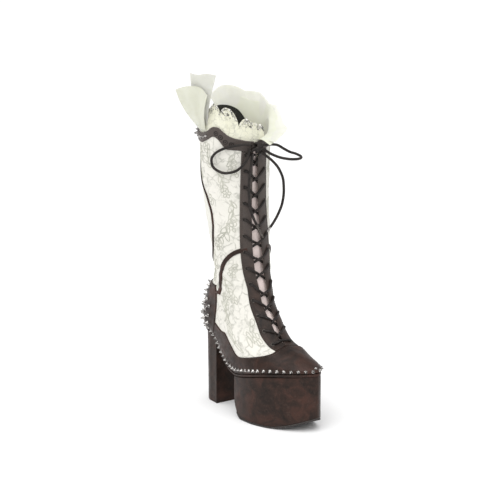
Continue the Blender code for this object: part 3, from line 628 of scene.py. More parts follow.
    def sheet(self, rows: Array, stations: Array, offset: Array = 0.0) -> tuple[Array, Array]:
        """A grid of points on the surface and their normals.

        Args:
            rows: Grid rows.
            stations: Pairs of side and column.
            offset: Distance out from the surface, one value or one for each point.

        Returns:
            Points and normals, each rows by stations by 3.
        """
        points = np.empty((len(rows), len(stations), 3))
        normals = np.empty_like(points)
        lift = np.broadcast_to(np.asarray(offset, float), points.shape[:2])
        for side in Side:
            pick = stations[:, 0] == side
            if not pick.any():
                continue
            at = (rows[:, None], stations[pick, 1][None, :])
            points[:, pick] = self.on_grid(side, *at, lift[:, pick])
            normals[:, pick] = self.grid_normal(side, *at)
        return points, normals

    def throat(self, row: float, offset: float) -> Array:
        """Point on the middle of the throat, a distance out from it."""
        out = unit(sum(self.grid_normal(side, row, 0.0) for side in Side))
        return sum(self.on_grid(side, row, 0.0) for side in Side) / 2.0 + out * offset

    def level_through(self, side: int, x: float, z: float) -> Pair:
        """Level and distance from the front of the surface point at x and z.

        Args:
            side: Side of the boot.
            x: Distance along the boot.
            z: Height.

        Returns:
            The level and the distance.
        """
        low, high = 0.0, self.top
        for _ in range(40):
            t = (low + high) / 2.0
            loop = self._lookup(side, np.full(self.SHARES, t), np.linspace(0.0, 1.0, self.SHARES))
            height = np.interp(-x, -loop[:, 0], loop[:, 2])
            low, high = (t, high) if height < z else (low, t)
        share = np.interp(-x, -loop[:, 0], np.linspace(0.0, 1.0, self.SHARES))
        return t, float(share * self.length(side, t))


def past_back(columns: Array, side: Side = Side.RIGHT) -> Array:
    """Stations along one side and on past the back, as columns that go on counting."""
    return np.array([(side, c) if c <= COL_BACK else (-side, 2 * COL_BACK - c) for c in columns])


def round_back(first_right: float, first_left: float, step: float, near: Sequence[float]) -> Array:
    """Stations from the right side, round the back, to the left side."""
    return past_back(ladder(first_right, 2 * COL_BACK - first_left, step, near))


def round_front(last: float, step: float, near: Sequence[float]) -> Array:
    """Stations from the left side, round the toe, to the right side."""
    return np.array([(Side.LEFT, -c) if c < 0 else (Side.RIGHT, c) for c in ladder(-last, last, step, near)])


def border_distance(points: Array) -> Array:
    """Distance of each grid point from the nearest border of its grid.

    Args:
        points: Grid of points.

    Returns:
        Distances in millimetres.
    """
    found = []
    for axis in (0, 1):
        gaps = np.linalg.norm(np.diff(points, axis=axis), axis=2)
        zero = np.zeros_like(np.take(gaps, [0], axis=axis))
        reach = np.concatenate([zero, np.cumsum(gaps, axis=axis)], axis=axis)
        found += [reach, np.take(reach, [-1], axis=axis) - reach]
    return np.minimum.reduce(found)


class Shape:
    """Points and faces of one piece, gathered before its mesh is made."""

    def __init__(self) -> None:
        """Start empty."""
        self._points: list[Array] = []
        self._faces: list[Array] = []
        self._count = 0

    def add(self, points: Array, faces: Array) -> None:
        """Take in points and faces that index them.

        Args:
            points: Points in design millimetres.
            faces: Corner numbers of the faces.
        """
        points = points.reshape(-1, 3)
        self._points.append(points)
        self._faces.append(np.asarray(faces) + self._count)
        self._count += len(points)

    def grid(self, points: Array, wrap_rows: bool = False, wrap_columns: bool = False) -> None:
        """Take in a grid of quads.

        Args:
            points: Rows by columns by 3.
            wrap_rows: Whether the last row meets the first.
            wrap_columns: Whether the last column meets the first.
        """
        m, n = points.shape[:2]
        rows = np.arange(m if wrap_rows else m - 1)[:, None]
        columns = np.arange(n if wrap_columns else n - 1)[None, :]
        after_row, after_column = (rows + 1) % m, (columns + 1) % n
        corners = [rows * n + columns, rows * n + after_column, after_row * n + after_column,
                   after_row * n + columns]
        corners = [np.broadcast_to(corner, corners[0].shape) for corner in corners]
        self.add(points, np.stack(corners, -1).reshape(-1, 4))

    def closed_tube(self, rings: Array) -> None:
        """Take in rings joined one to the next, with both ends closed to their middles.

        Args:
            rings: Points, by ring and place round it.
        """
        start, end = (np.repeat(ring.mean(axis=0)[None, None], rings.shape[1], axis=1)
                      for ring in (rings[0], rings[-1]))
        self.grid(np.concatenate([start, rings, end]), wrap_columns=True)

    def shell(self, points: Array, normals: Array, thick: float, rounding: float) -> None:
        """Take in a closed panel whose thickness rounds off at its border.

        Args:
            points: Grid of its lower face.
            normals: Outward directions there.
            thick: Full thickness.
            rounding: Distance over which the edge rounds off.
        """
        depth = np.clip(border_distance(points) / rounding, 0.0, 1.0)
        rise = thick * np.sqrt(1.0 - (1.0 - depth) ** 2)
        self.grid(points + normals * rise[..., None])
        self.grid(points)

    def tube(self, path: Array, radius: Array, sides: int = 10, flat: float = 1.0) -> None:
        """Take in a round tube with closed ends.

        Args:
            path: Centre line.
            radius: One radius, or one for each point.
            sides: Number of sides.
            flat: Height of the section as a share of its width.
        """
        heading = unit(np.gradient(path, axis=0))
        across = np.empty_like(path)
        guide = np.cross(heading[0], (0.31, 0.27, 0.91))
        for i, ahead in enumerate(heading):
            guide = guide - ahead * (guide @ ahead)
            guide = guide / np.linalg.norm(guide)
            across[i] = guide
        upward = np.cross(heading, across)
        radii = np.broadcast_to(radius, len(path))
        self.ribbon_tube(path[None], across[None], upward[None], radii, sides, flat)

    def ribbon_tube(self, paths: Array, across: Array, upward: Array, radius: Array, sides: int,
                    flat: float) -> None:
        """Take in tubes with a known frame along each path, closed at both ends.

        Args:
            paths: Centre lines.
            across: Directions across them.
            upward: Directions out of the surface.
            radius: Radius at each point.
            sides: Sides round the tube.
            flat: Height as a share of the width.
        """
        turn = np.linspace(0.0, 2.0 * math.pi, sides, endpoint=False)
        round_it = (np.cos(turn)[:, None] * across[..., None, :]
                    + flat * np.sin(turn)[:, None] * upward[..., None, :])
        rings = paths[..., None, :] + round_it * np.asarray(radius)[..., None, None]
        start = np.repeat(paths[:, :1, None], sides, axis=2)
        end = np.repeat(paths[:, -1:, None], sides, axis=2)
        for ring, first, last in zip(rings, start, end):
            self.grid(np.concatenate([first, ring, last]), wrap_columns=True)

    def lathes(self, profile: Profile, places: Array, axes: Array, segments: int) -> None:
        """Take in the same turned form at many places.

        Args:
            profile: Radius and height pairs from the base to the tip.
            places: Base centres.
            axes: Direction of each form.
            segments: Sides of each form.
        """
        axes = unit(np.asarray(axes, float))
        aside = np.where(np.abs(axes[:, 2:]) < 0.9, (0.0, 0.0, 1.0), (1.0, 0.0, 0.0))
        first = unit(np.cross(axes, aside))
        second = np.cross(axes, first)
        turn = np.linspace(0.0, 2.0 * math.pi, segments, endpoint=False)
        for place, axis, u, v in zip(np.asarray(places, float), axes, first, second):
            rim = np.cos(turn)[:, None] * u + np.sin(turn)[:, None] * v
            self.grid(np.array([place + axis * height + rim * radius for radius, height in profile]),
                      wrap_columns=True)

    def mesh(self, name: str) -> bpy.types.Mesh:
        """The joined mesh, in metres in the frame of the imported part.

        Args:
            name: Name of the mesh.

        Returns:
            The mesh.
        """
        points = (np.concatenate(self._points) + SHIFT) * MM
        mesh = bpy.data.meshes.new(name)
        faces = np.concatenate(self._faces)
        mesh.vertices.add(len(points))
        mesh.vertices.foreach_set("co", points.astype(np.float32).ravel())
        mesh.loops.add(faces.size)
        mesh.loops.foreach_set("vertex_index", faces.astype(np.int32).ravel())
        mesh.polygons.add(len(faces))
        mesh.polygons.foreach_set("loop_start", np.arange(0, faces.size, 4, dtype=np.int32))
        mesh.update(calc_edges=True)
        clean = bmesh.new()
        clean.from_mesh(mesh)
        bmesh.ops.remove_doubles(clean, verts=clean.verts, dist=2e-7)
        bmesh.ops.dissolve_degenerate(clean, edges=clean.edges, dist=1e-8)
        bmesh.ops.recalc_face_normals(clean, faces=clean.faces)
        clean.to_mesh(mesh)
        clean.free()
        mesh.shade_smooth()
        mesh.set_sharp_from_angle(angle=math.radians(SHARP_ANGLE))
        return mesh


def find_shift() -> Array:
    """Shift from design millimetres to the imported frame, read off the heel block."""
    low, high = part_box("heel_block")
    return np.array([high.x / MM - HEEL_BREAST, (low.y + high.y) / 2.0 / MM, low.z / MM])


SHIFT = find_shift()


def to_frame(point: Array) -> Triple:
    """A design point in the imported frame, in metres."""
    return tuple(float(value) for value in (np.asarray(point) + SHIFT) * MM)


class NodeBook:
    """Short calls for the shader nodes of one material."""

    def __init__(self, name: str) -> None:
        """Make a material with its Principled shader.

        Args:
            name: Name of the material.
        """
        self.material = bpy.data.materials.new(name)
        self.material.use_nodes = True
        self.tree = self.material.node_tree
        self.shader = self.tree.nodes["Principled BSDF"]
        self.place = self.tree.nodes.new("ShaderNodeTexCoord").outputs["Object"]

    def put(self, socket: Socket, value: object) -> None:
        """Link a socket, or set its value.

        Args:
            socket: Input to feed.
            value: Another node's output, or a value.
        """
        if isinstance(value, Socket):
            self.tree.links.new(value, socket)
        elif socket.type == "RGBA":
            socket.default_value = (*value, 1.0)
        else:
            socket.default_value = value

    def set(self, **values: object) -> None:
        """Set inputs of the shader by name, with _ for a space."""
        for name, value in values.items():
            self.put(self.shader.inputs[name.replace("_", " ")], value)

    def node(self, kind: str, inputs: dict[int | str, object], **options: str) -> bpy.types.Node:
        """A new node, with its settings made before its inputs are fed.

        Args:
            kind: Blender's name for it, without ShaderNode.
            inputs: Values or outputs by input.
            options: Settings by name.

        Returns:
            The node.
        """
        node = self.tree.nodes.new(f"ShaderNode{kind}")
        for name, value in options.items():
            setattr(node, name, value)
        for key, value in inputs.items():
            self.put(node.inputs[key], value)
        return node

    def noise(self, size: float, detail: float = 3.0, rough: float = 0.55, twist: float = 0.0) -> Socket:
        """Noise whose blotches are about size millimetres across.

        Args:
            size: Size across in millimetres.
            detail: Octaves.
            rough: Share of the finer octaves.
            twist: Distortion.

        Returns:
            The noise.
        """
        inputs = {"Vector": self.place, "Scale": 1.0 / (size * MM), "Detail": detail, "Roughness": rough,
                  "Distortion": twist}
        return self.node("TexNoise", inputs).outputs[0]

    def height(self) -> Socket:
        """Height over the floor in metres."""
        return self.node("SeparateXYZ", {0: self.place}).outputs["Z"]

    def cells(self, size: float, feature: str = "F1", at: Socket | None = None) -> Socket:
        """Distances in Voronoi cells about size millimetres across."""
        inputs = {"Vector": at or self.place, "Scale": 1.0 / (size * MM)}
        return self.node("TexVoronoi", inputs, feature=feature).outputs["Distance"]

    def ramp(self, value: Socket, stops: Sequence[tuple[float, Colour]]) -> Socket:
        """A colour ramp.

        Args:
            value: Input value.
            stops: Places and colours.

        Returns:
            The colour.
        """
        node = self.tree.nodes.new("ShaderNodeValToRGB")
        while len(node.color_ramp.elements) < len(stops):
            node.color_ramp.elements.new(0.5)
        for element, (spot, colour) in zip(node.color_ramp.elements, stops):
            element.position = spot
            element.color = (*colour, 1.0)
        self.put(node.inputs[0], value)
        return node.outputs[0]

    def level(self, value: Socket, low: Pair, high: Pair) -> Socket:
        """A number that runs between two pairs of input and output."""
        inputs = dict(enumerate((value, low[0], high[0], low[1], high[1])))
        return self.node("MapRange", inputs).outputs[0]

    def mix(self, share: object, a: object, b: object) -> Socket:
        """A mix of two colours, by the share of the second."""
        return self.node("Mix", {0: share, 6: a, 7: b}, data_type="RGBA").outputs[2]

    def sum(self, a: object, b: object, kind: str = "ADD") -> Socket:
        """Arithmetic on two numbers."""
        return self.node("Math", {0: a, 1: b}, operation=kind).outputs[0]

    def warp(self, size: float, amount: float) -> Socket:
        """Place coordinates stirred by noise, by about amount millimetres.

        Args:
            size: Size across in millimetres.
            amount: Distance they are stirred by.

        Returns:
            The coordinates.
        """
        noise = self.node("TexNoise", {"Vector": self.place, "Scale": 1.0 / (size * MM)})
        centred = self.node("VectorMath", {0: noise.outputs[1], 1: (0.5, 0.5, 0.5)}, operation="SUBTRACT")
        inputs = {0: centred.outputs[0], 1: (amount * MM,) * 3, 2: self.place}
        return self.node("VectorMath", inputs, operation="MULTIPLY_ADD").outputs[0]

    def bump(self, height: Socket, depth: float, strength: float = 1.0) -> None:
        """Relief of about depth millimetres on the shader's normal."""
        inputs = {"Strength": strength, "Distance": depth * MM, "Height": height}
        self.put(self.shader.inputs["Normal"], self.node("Bump", inputs).outputs[0])


@dataclass(frozen=True)
class Finish:
    """A finish, with the record's slot that it belongs to."""

    name: str
    slot: str

    def material(self) -> bpy.types.Material:
        """The finish's material, made once.

        Returns:
            The material.
        """
        found = bpy.data.materials.get(f"{self.name}_finish")
        if found:
            return found
        book = NodeBook(f"{self.name}_finish")
        self.paint(book)
        return book.material

    def paint(self, book: NodeBook) -> None:
        """Wire the material's nodes."""
        raise NotImplementedError


@dataclass(frozen=True)
class MottledLeather(Finish):
    """Brown leather with reddish mottling, fine grain and rubbed patches."""

    dark: Colour = (0.0105, 0.0062, 0.0046)
    body: Colour = (0.0270, 0.0138, 0.0098)
    warm: Colour = (0.0540, 0.0230, 0.0160)
    rubbed: Colour = (0.0800, 0.0500, 0.0400)
    blotch: float = 34.0
    gloss: float = 0.40
    # colour the leather turns towards the top: painted light for the highlight the upper pieces catch
    painted_top_light: Colour | None = None

    def paint(self, book: NodeBook) -> None:
        """Mottled colour, paler towards the top where light is painted on, pebbled grain and uneven gloss.

        Args:
            book: The material's nodes.
        """
        blotches = book.noise(self.blotch, 5.0, 0.62, 0.9)
        colour = book.ramp(blotches, ((0.33, self.dark), (0.50, self.body), (0.68, self.warm)))
        streaks = book.noise(7.0, 6.0, 0.65, 1.6)
        colour = book.mix(book.level(streaks, (0.54, 0.0), (0.80, 0.55)), colour, self.rubbed)
        # Painted light: the colour turns paler with height, standing in for the highlight on the upper
        # eyestays and the band.
        if self.painted_top_light:
            colour = book.mix(book.level(book.height(), (0.17, 0.0), (0.32, 0.72)), colour, self.painted_top_light)
        grain = book.cells(1.1)
        pores = book.noise(0.7, 2.0)
        colour = book.mix(book.level(grain, (0.25, 0.0), (0.75, 0.22)), colour, self.dark)
        wear = book.level(book.noise(11.0, 4.0, 0.6), (0.35, self.gloss - 0.07), (0.68, self.gloss + 0.15))
        book.set(Base_Color=colour, Roughness=wear, Specular_IOR_Level=0.2)
        book.bump(book.sum(grain, book.sum(pores, 0.5, "MULTIPLY")), 0.16, 0.55)


@dataclass(frozen=True)
class LaceCloth(Finish):
    """Ivory lace: a fine net, with winding grey-green lines of painted shade for the gaps between raised
    ribbons.
    """

    ivory: Colour = (0.735, 0.715, 0.66)
    shade: Colour = (0.62, 0.61, 0.545)
    # colour of the painted shade lines between the raised lace ribbons
    line: Colour = (0.33, 0.33, 0.285)
    figure: float = 21.0
    strength: float = 0.66

    def paint(self, book: NodeBook) -> None:
        """Net, winding lines of painted shade and soft clouding.

        Args:
            book: The material's nodes.
        """
        # The winding dark lines are painted shade, standing for the gaps between the raised lace ribbons.
        stirred = book.warp(14.0, 13.0)
        edge = book.cells(self.figure, "DISTANCE_TO_EDGE", stirred)
        outline = book.level(edge, (0.015, 1.0), (0.075, 0.0))
        small = book.level(book.cells(self.figure * 0.45, "DISTANCE_TO_EDGE", book.warp(6.0, 6.0)),
                           (0.02, 1.0), (0.10, 0.0))
        patch = book.level(book.noise(26.0, 3.0), (0.46, 0.0), (0.62, 1.0))
        lines = book.sum(outline, book.sum(small, patch, "MULTIPLY"), "MAXIMUM")
        broken = book.level(book.noise(9.0, 3.0), (0.36, 0.0), (0.60, 1.0))
        lines = book.sum(lines, broken, "MULTIPLY")
        cloud = book.level(book.noise(42.0, 3.0), (0.40, 0.0), (0.75, 0.4))
        net = book.level(book.cells(1.5, "DISTANCE_TO_EDGE"), (0.02, 0.26), (0.22, 0.0))
        colour = book.mix(cloud, self.ivory, self.shade)
        colour = book.mix(net, colour, self.shade)
        colour = book.mix(book.sum(lines, self.strength, "MULTIPLY"), colour, self.line)
        book.set(Base_Color=colour, Roughness=0.82, Sheen_Weight=0.15)
        raised = book.sum(lines, book.sum(net, 0.5, "MULTIPLY"), "SUBTRACT")
        book.bump(raised, 0.35, 0.8)


@dataclass(frozen=True)
class WovenCloth(Finish):
    """Plain fine weave with soft clouding."""

    pale: Colour = (0.74, 0.72, 0.64)
    deep: Colour = (0.58, 0.56, 0.50)
    thread: float = 0.9

    def paint(self, book: NodeBook) -> None:
        """Fine threads and soft clouding.

        Args:
            book: The material's nodes.
        """
        threads = book.cells(self.thread)
        cloud = book.level(book.noise(30.0, 3.0), (0.35, 0.0), (0.70, 0.8))
        colour = book.mix(cloud, self.pale, self.deep)
        colour = book.mix(book.level(threads, (0.3, 0.0), (0.8, 0.35)), colour, self.deep)
        book.set(Base_Color=colour, Roughness=0.88, Sheen_Weight=0.2)
        book.bump(threads, 0.15, 0.6)


@dataclass(frozen=True)
class SheerCloth(Finish):
    """Sheer gathered cloth that lets the ground show through."""

    pale: Colour = (0.655, 0.66, 0.555)
    deep: Colour = (0.60, 0.605, 0.49)
    cover: float = 0.86

    def paint(self, book: NodeBook) -> None:
        """Pale clouded cloth with a very fine weave.

        Args:
            book: The material's nodes.
        """
        cloud = book.level(book.noise(38.0, 3.0, 0.5, 0.6), (0.36, 0.0), (0.66, 0.9))
        weave = book.noise(0.8, 2.0)
        book.set(Base_Color=book.mix(cloud, self.pale, self.deep), Roughness=0.55, Alpha=self.cover,
                 Sheen_Weight=0.25, Subsurface_Weight=0.25, Subsurface_Radius=(0.004, 0.004, 0.003))
        book.bump(weave, 0.1, 0.4)


@dataclass(frozen=True)
class Cord(Finish):
    """Dark waxed cord."""

    dark: Colour = (0.010, 0.0075, 0.0065)
    rubbed: Colour = (0.040, 0.031, 0.027)

    def paint(self, book: NodeBook) -> None:
        """Braided relief and rubbed spots.

        Args:
            book: The material's nodes.
        """
        braid = book.cells(1.0)
        spots = book.noise(6.0, 4.0)
        colour = book.mix(book.level(spots, (0.40, 0.0), (0.75, 0.8)), self.dark, self.rubbed)
        rough = book.level(spots, (0.3, 0.42), (0.7, 0.62))
        book.set(Base_Color=colour, Roughness=rough, Specular_IOR_Level=0.25)
        book.bump(braid, 0.25, 0.6)


@dataclass(frozen=True)
class Metal(Finish):
    """Polished or blackened metal, unevenly tarnished."""

    bright: Colour = (0.52, 0.50, 0.48)
    dull: Colour = (0.08, 0.073, 0.07)
    gloss: float = 0.14

    def paint(self, book: NodeBook) -> None:
        """Uneven tarnish and gloss.

        Args:
            book: The material's nodes.
        """
        tarnish = book.noise(2.4, 4.0)
        colour = book.mix(book.level(tarnish, (0.40, 0.0), (0.62, 1.0)), self.bright, self.dull)
        rough = book.level(tarnish, (0.35, self.gloss), (0.7, self.gloss + 0.18))
        book.set(Base_Color=colour, Roughness=rough, Metallic=1.0)
        book.bump(book.noise(0.6, 2.0), 0.04, 0.3)


@dataclass(frozen=True)
class Rubber(Finish):
    """Matt dark sole rubber with speckles."""

    dark: Colour = (0.022, 0.018, 0.016)
    pale: Colour = (0.060, 0.052, 0.048)

    def paint(self, book: NodeBook) -> None:
        """Speckled, slightly rough rubber.

        Args:
            book: The material's nodes.
        """
        speck = book.noise(1.6, 4.0, 0.7)
        book.set(Base_Color=book.mix(book.level(speck, (0.4, 0.0), (0.7, 0.8)), self.dark, self.pale),
                 Roughness=0.72)
        book.bump(speck, 0.15, 0.5)


@dataclass(frozen=True)
class Bead(Finish):
    """Glossy glass beads and pearls."""

    pale: Colour = (0.50, 0.49, 0.44)
    deep: Colour = (0.12, 0.12, 0.10)

    def paint(self, book: NodeBook) -> None:
        """Beads that vary from one to the next.

        Args:
            book: The material's nodes.
        """
        tone = book.noise(5.0, 2.0)
        book.set(Base_Color=book.mix(book.level(tone, (0.42, 0.0), (0.58, 1.0)), self.pale, self.deep),
                 Roughness=0.14, Coat_Weight=0.6)


LEATHER = MottledLeather("brown_leather", "brown_leather")
# A paler copy of the brown leather for the eyestays and the collar band: partly their own greyer tone,
# partly painted light for the sheen they catch, with more painted light towards the top.
STAY_LEATHER = MottledLeather("stay_leather", "brown_leather", dark=(0.0125, 0.0085, 0.0070),
                              body=(0.030, 0.020, 0.016), warm=(0.055, 0.034, 0.027), blotch=22.0,
                              painted_top_light=(0.100, 0.084, 0.076))
SOLE_LEATHER = MottledLeather("platform_leather", "brown_leather", blotch=24.0, gloss=0.38)
LACE = LaceCloth("lace_panel", "lace_fabric")
# The sprig cords are darker than the lace ground: painted shade, for the dark lines between raised lace
# ribbons.
SPRIG = WovenCloth("lace_sprig", "lace_fabric", pale=(0.58, 0.575, 0.50), deep=(0.34, 0.345, 0.29),
                   thread=0.6)
BACK_CLOTH = WovenCloth("back_panel_cloth", "lace_fabric", pale=(0.70, 0.69, 0.63), deep=(0.55, 0.55, 0.50))
LINING = WovenCloth("lining_cloth", "cream_lining", pale=(0.66, 0.58, 0.50), deep=(0.52, 0.45, 0.39))
TONGUE_CLOTH = WovenCloth("tongue_cloth", "cream_lining", pale=(0.80, 0.69, 0.65), deep=(0.66, 0.55, 0.52))
ORGANZA = SheerCloth("frill_cloth", "organza")
ORGANZA_EDGE = SheerCloth("frill_edge_cloth", "organza", pale=(0.68, 0.68, 0.63),
                          deep=(0.63, 0.63, 0.56), cover=0.8)
# Brighter copies of the organza for the far frill: painted light that offsets the shade it stands in on the
# inner side of the collar.
FAR_ORGANZA = SheerCloth("far_frill_cloth", "organza", pale=(0.76, 0.77, 0.66),
                         deep=(0.72, 0.73, 0.60), cover=0.86)
FAR_EDGE = SheerCloth("far_edge_cloth", "organza", pale=(0.80, 0.80, 0.73),
                      deep=(0.76, 0.76, 0.67), cover=0.82)
TRIM_CLOTH = LaceCloth("trim_lace", "organza", ivory=(0.74, 0.73, 0.60), shade=(0.60, 0.59, 0.46),
                       figure=8.0, strength=0.55)
FACING = WovenCloth("dark_facing", "brown_leather", pale=(0.016, 0.017, 0.012), deep=(0.008, 0.008, 0.006))
CORD = Cord("waxed_cord", "lace_cord")
STEEL = Metal("stud_metal", "dark_metal")
BLACK_METAL = Metal("eyelet_metal", "dark_metal", bright=(0.13, 0.115, 0.105),
                    dull=(0.05, 0.045, 0.04), gloss=0.28)
RUBBER = Rubber("sole_rubber", "sole_rubber")
THREAD = Cord("stitch_thread", "lace_cord", dark=(0.030, 0.022, 0.018), rubbed=(0.09, 0.07, 0.06))
BEAD = Bead("trim_bead", "organza", pale=(0.44, 0.43, 0.37), deep=(0.09, 0.09, 0.08))
PEARL = Bead("trim_pearl", "organza", pale=(0.86, 0.84, 0.80), deep=(0.74, 0.72, 0.68))


def settle(item: Object, finish: Finish, stands_for: Sequence[str] = ()) -> Object:
    """Dress an object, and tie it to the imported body.

    Args:
        item: The new object.
        finish: Its finish.
        stands_for: Solids that it takes the place of.

    Returns:
        The same object.
    """
    item.data.materials.clear()
    item.data.materials.append(finish.material())
    bpy.context.scene.collection.objects.link(item)
    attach(item, BODY)
    if stands_for:
        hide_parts(*stands_for)
    LOG.info("%s, for %s", item.name, ", ".join(stands_for) or "itself")
    return item


def piece(shape: Shape, name: str, finish: Finish, stands_for: Sequence[str] = ()) -> Object:
    """Make an object of a gathered shape."""
    return settle(bpy.data.objects.new(name, shape.mesh(name)), finish, stands_for)


@dataclass
class Studio:
    """Camera, lights and floor."""

    camera_place: Triple = (2709.65, -1791.22, 1105.89)
    azimuth: float = 34.5
    elevation: float = 15.0
    focal: float = 153.25
    floor_half: float = 16000.0
    sky: float = 0.72
    sun: float = 1.55
    sun_angle: float = 70.0
    sun_from: Triple = (0.5, -0.5, 1.6)
    light_aim: Triple = (0.0, 0.0, 0.22)
    key: float = 11.0
    fill: float = 5.0
    side: float = 4.0

    def build(self) -> None:
        """Make the camera, then the floor and the lights."""
        scene = bpy.context.scene
        data = bpy.data.cameras.new("photo_camera")
        data.lens = self.focal
        data.sensor_width = 36.0
        data.clip_end = 50.0
        camera = bpy.data.objects.new("photo_camera", data)
        scene.collection.objects.link(camera)
        turn, tilt = math.radians(self.azimuth), math.radians(self.elevation)
        back = Vector((math.cos(turn) * math.cos(tilt), -math.sin(turn) * math.cos(tilt), math.sin(tilt)))
        camera.location = to_frame(self.camera_place)
        camera.rotation_euler = (-back).to_track_quat("-Z", "Y").to_euler()
        scene.camera = camera
        scene.view_settings.view_transform = "Standard"
        self._floor()
        self._lights()

    def _floor(self) -> None:
        """A plain pale floor that isn't part of the boot."""
        half = self.floor_half * MM
        mesh = bpy.data.meshes.new("studio_floor")
        corners = [(-half, -half, 0), (half, -half, 0), (half, half, 0), (-half, half, 0)]
        mesh.from_pydata(corners, [], [(0, 1, 2, 3)])
        floor = bpy.data.objects.new("studio_floor", mesh)
        book = NodeBook("studio_floor_finish")
        book.set(Base_Color=(0.93, 0.93, 0.93), Roughness=0.9)
        mesh.materials.append(book.material)
        bpy.context.scene.collection.objects.link(floor)

    def _lights(self) -> None:
        """Soft sky, a wide key light, a fill, a light behind and one low at the side."""
        world = bpy.data.worlds.new("studio_sky")
        world.use_nodes = True
        shade = world.node_tree.nodes["Background"]
        shade.inputs["Color"].default_value = (1.0, 1.0, 1.0, 1.0)
        shade.inputs["Strength"].default_value = self.sky
        bpy.context.scene.world = world
        data = bpy.data.lights.new("soft_sun", "SUN")
        data.energy = self.sun
        data.angle = math.radians(self.sun_angle)
        lamp = bpy.data.objects.new("soft_sun", data)
        lamp.rotation_euler = (-Vector(self.sun_from)).to_track_quat("-Z", "Y").to_euler()
        bpy.context.scene.collection.objects.link(lamp)
        for name, place, size, power in (
            ("key_light", (1.1, -1.5, 1.9), 1.6, self.key),
            ("fill_light", (1.9, 0.9, 1.2), 1.5, self.fill),
            ("back_light", (-1.4, -0.9, 1.8), 1.4, self.fill),
            ("side_light", (-1.5, -1.0, 0.5), 1.2, self.side),
        ):
            data = bpy.data.lights.new(name, "AREA")
            data.energy = power
            data.size = size
            lamp = bpy.data.objects.new(name, data)
            lamp.location = place
            ahead = Vector(self.light_aim) - Vector(place)
            lamp.rotation_euler = ahead.to_track_quat("-Z", "Y").to_euler()
            bpy.context.scene.collection.objects.link(lamp)


KNOT_PLACE = RoutePoint(-4.5, 10.6, 424.5)
LACE_END = RoutePoint(1.8, 10.2, 413.0)
LACE_END_MIDDLE = -3.5
LOOP_RIGHT = rows_of(
    RoutePoint, (-12.8, 11.4, 429.8), (-21, 9.8, 430.5), (-35, 7.8, 428), (-50, 6.8, 422.5),
    (-62, 6.3, 413.5), (-67, 6.3, 404), (-65, 6.3, 394.5), (-57, 6.3, 388), (-46, 6.3, 385),
    (-33, 6.8, 388), (-22, 8.2, 398), (-15.5, 10, 412), (-14.3, 11.2, 423.3),
)
LOOP_LEFT = rows_of(
    RoutePoint, (3.7, 12, 427.8), (11, 16.5, 428), (20.8, 20.5, 426), (28.3, 28, 418.5),
    (32.6, 35.8, 412.8), (35, 43.3, 410.2), (33.9, 51, 408), (30.4, 54.8, 407), (26.2, 53.2, 406.6),
    (22.4, 46.6, 406.8), (17.5, 34.3, 408.6), (11.5, 20.5, 414), (4.6, 12, 421.8),
)
END_LEFT = rows_of(
    RoutePoint, (1.7, 11.5, 416.8), (9, 15.5, 409.5), (15.5, 21, 400.5), (20.5, 27, 388),
    (23.5, 31.5, 370), (24, 32, 352), (23, 30.5, 335), (20, 26, 318), (16, 21, 305), (12.6, 16.8, 296.5),
)
END_FRONT = rows_of(
    RoutePoint, (-10.1, 11.3, 415.9), (-11.5, 11.5, 402), (-13.5, 11.5, 384), (-14.5, 11.5, 360),
    (-13.5, 11.5, 336), (-9.5, 11.5, 316), (-5, 11.5, 303),
)


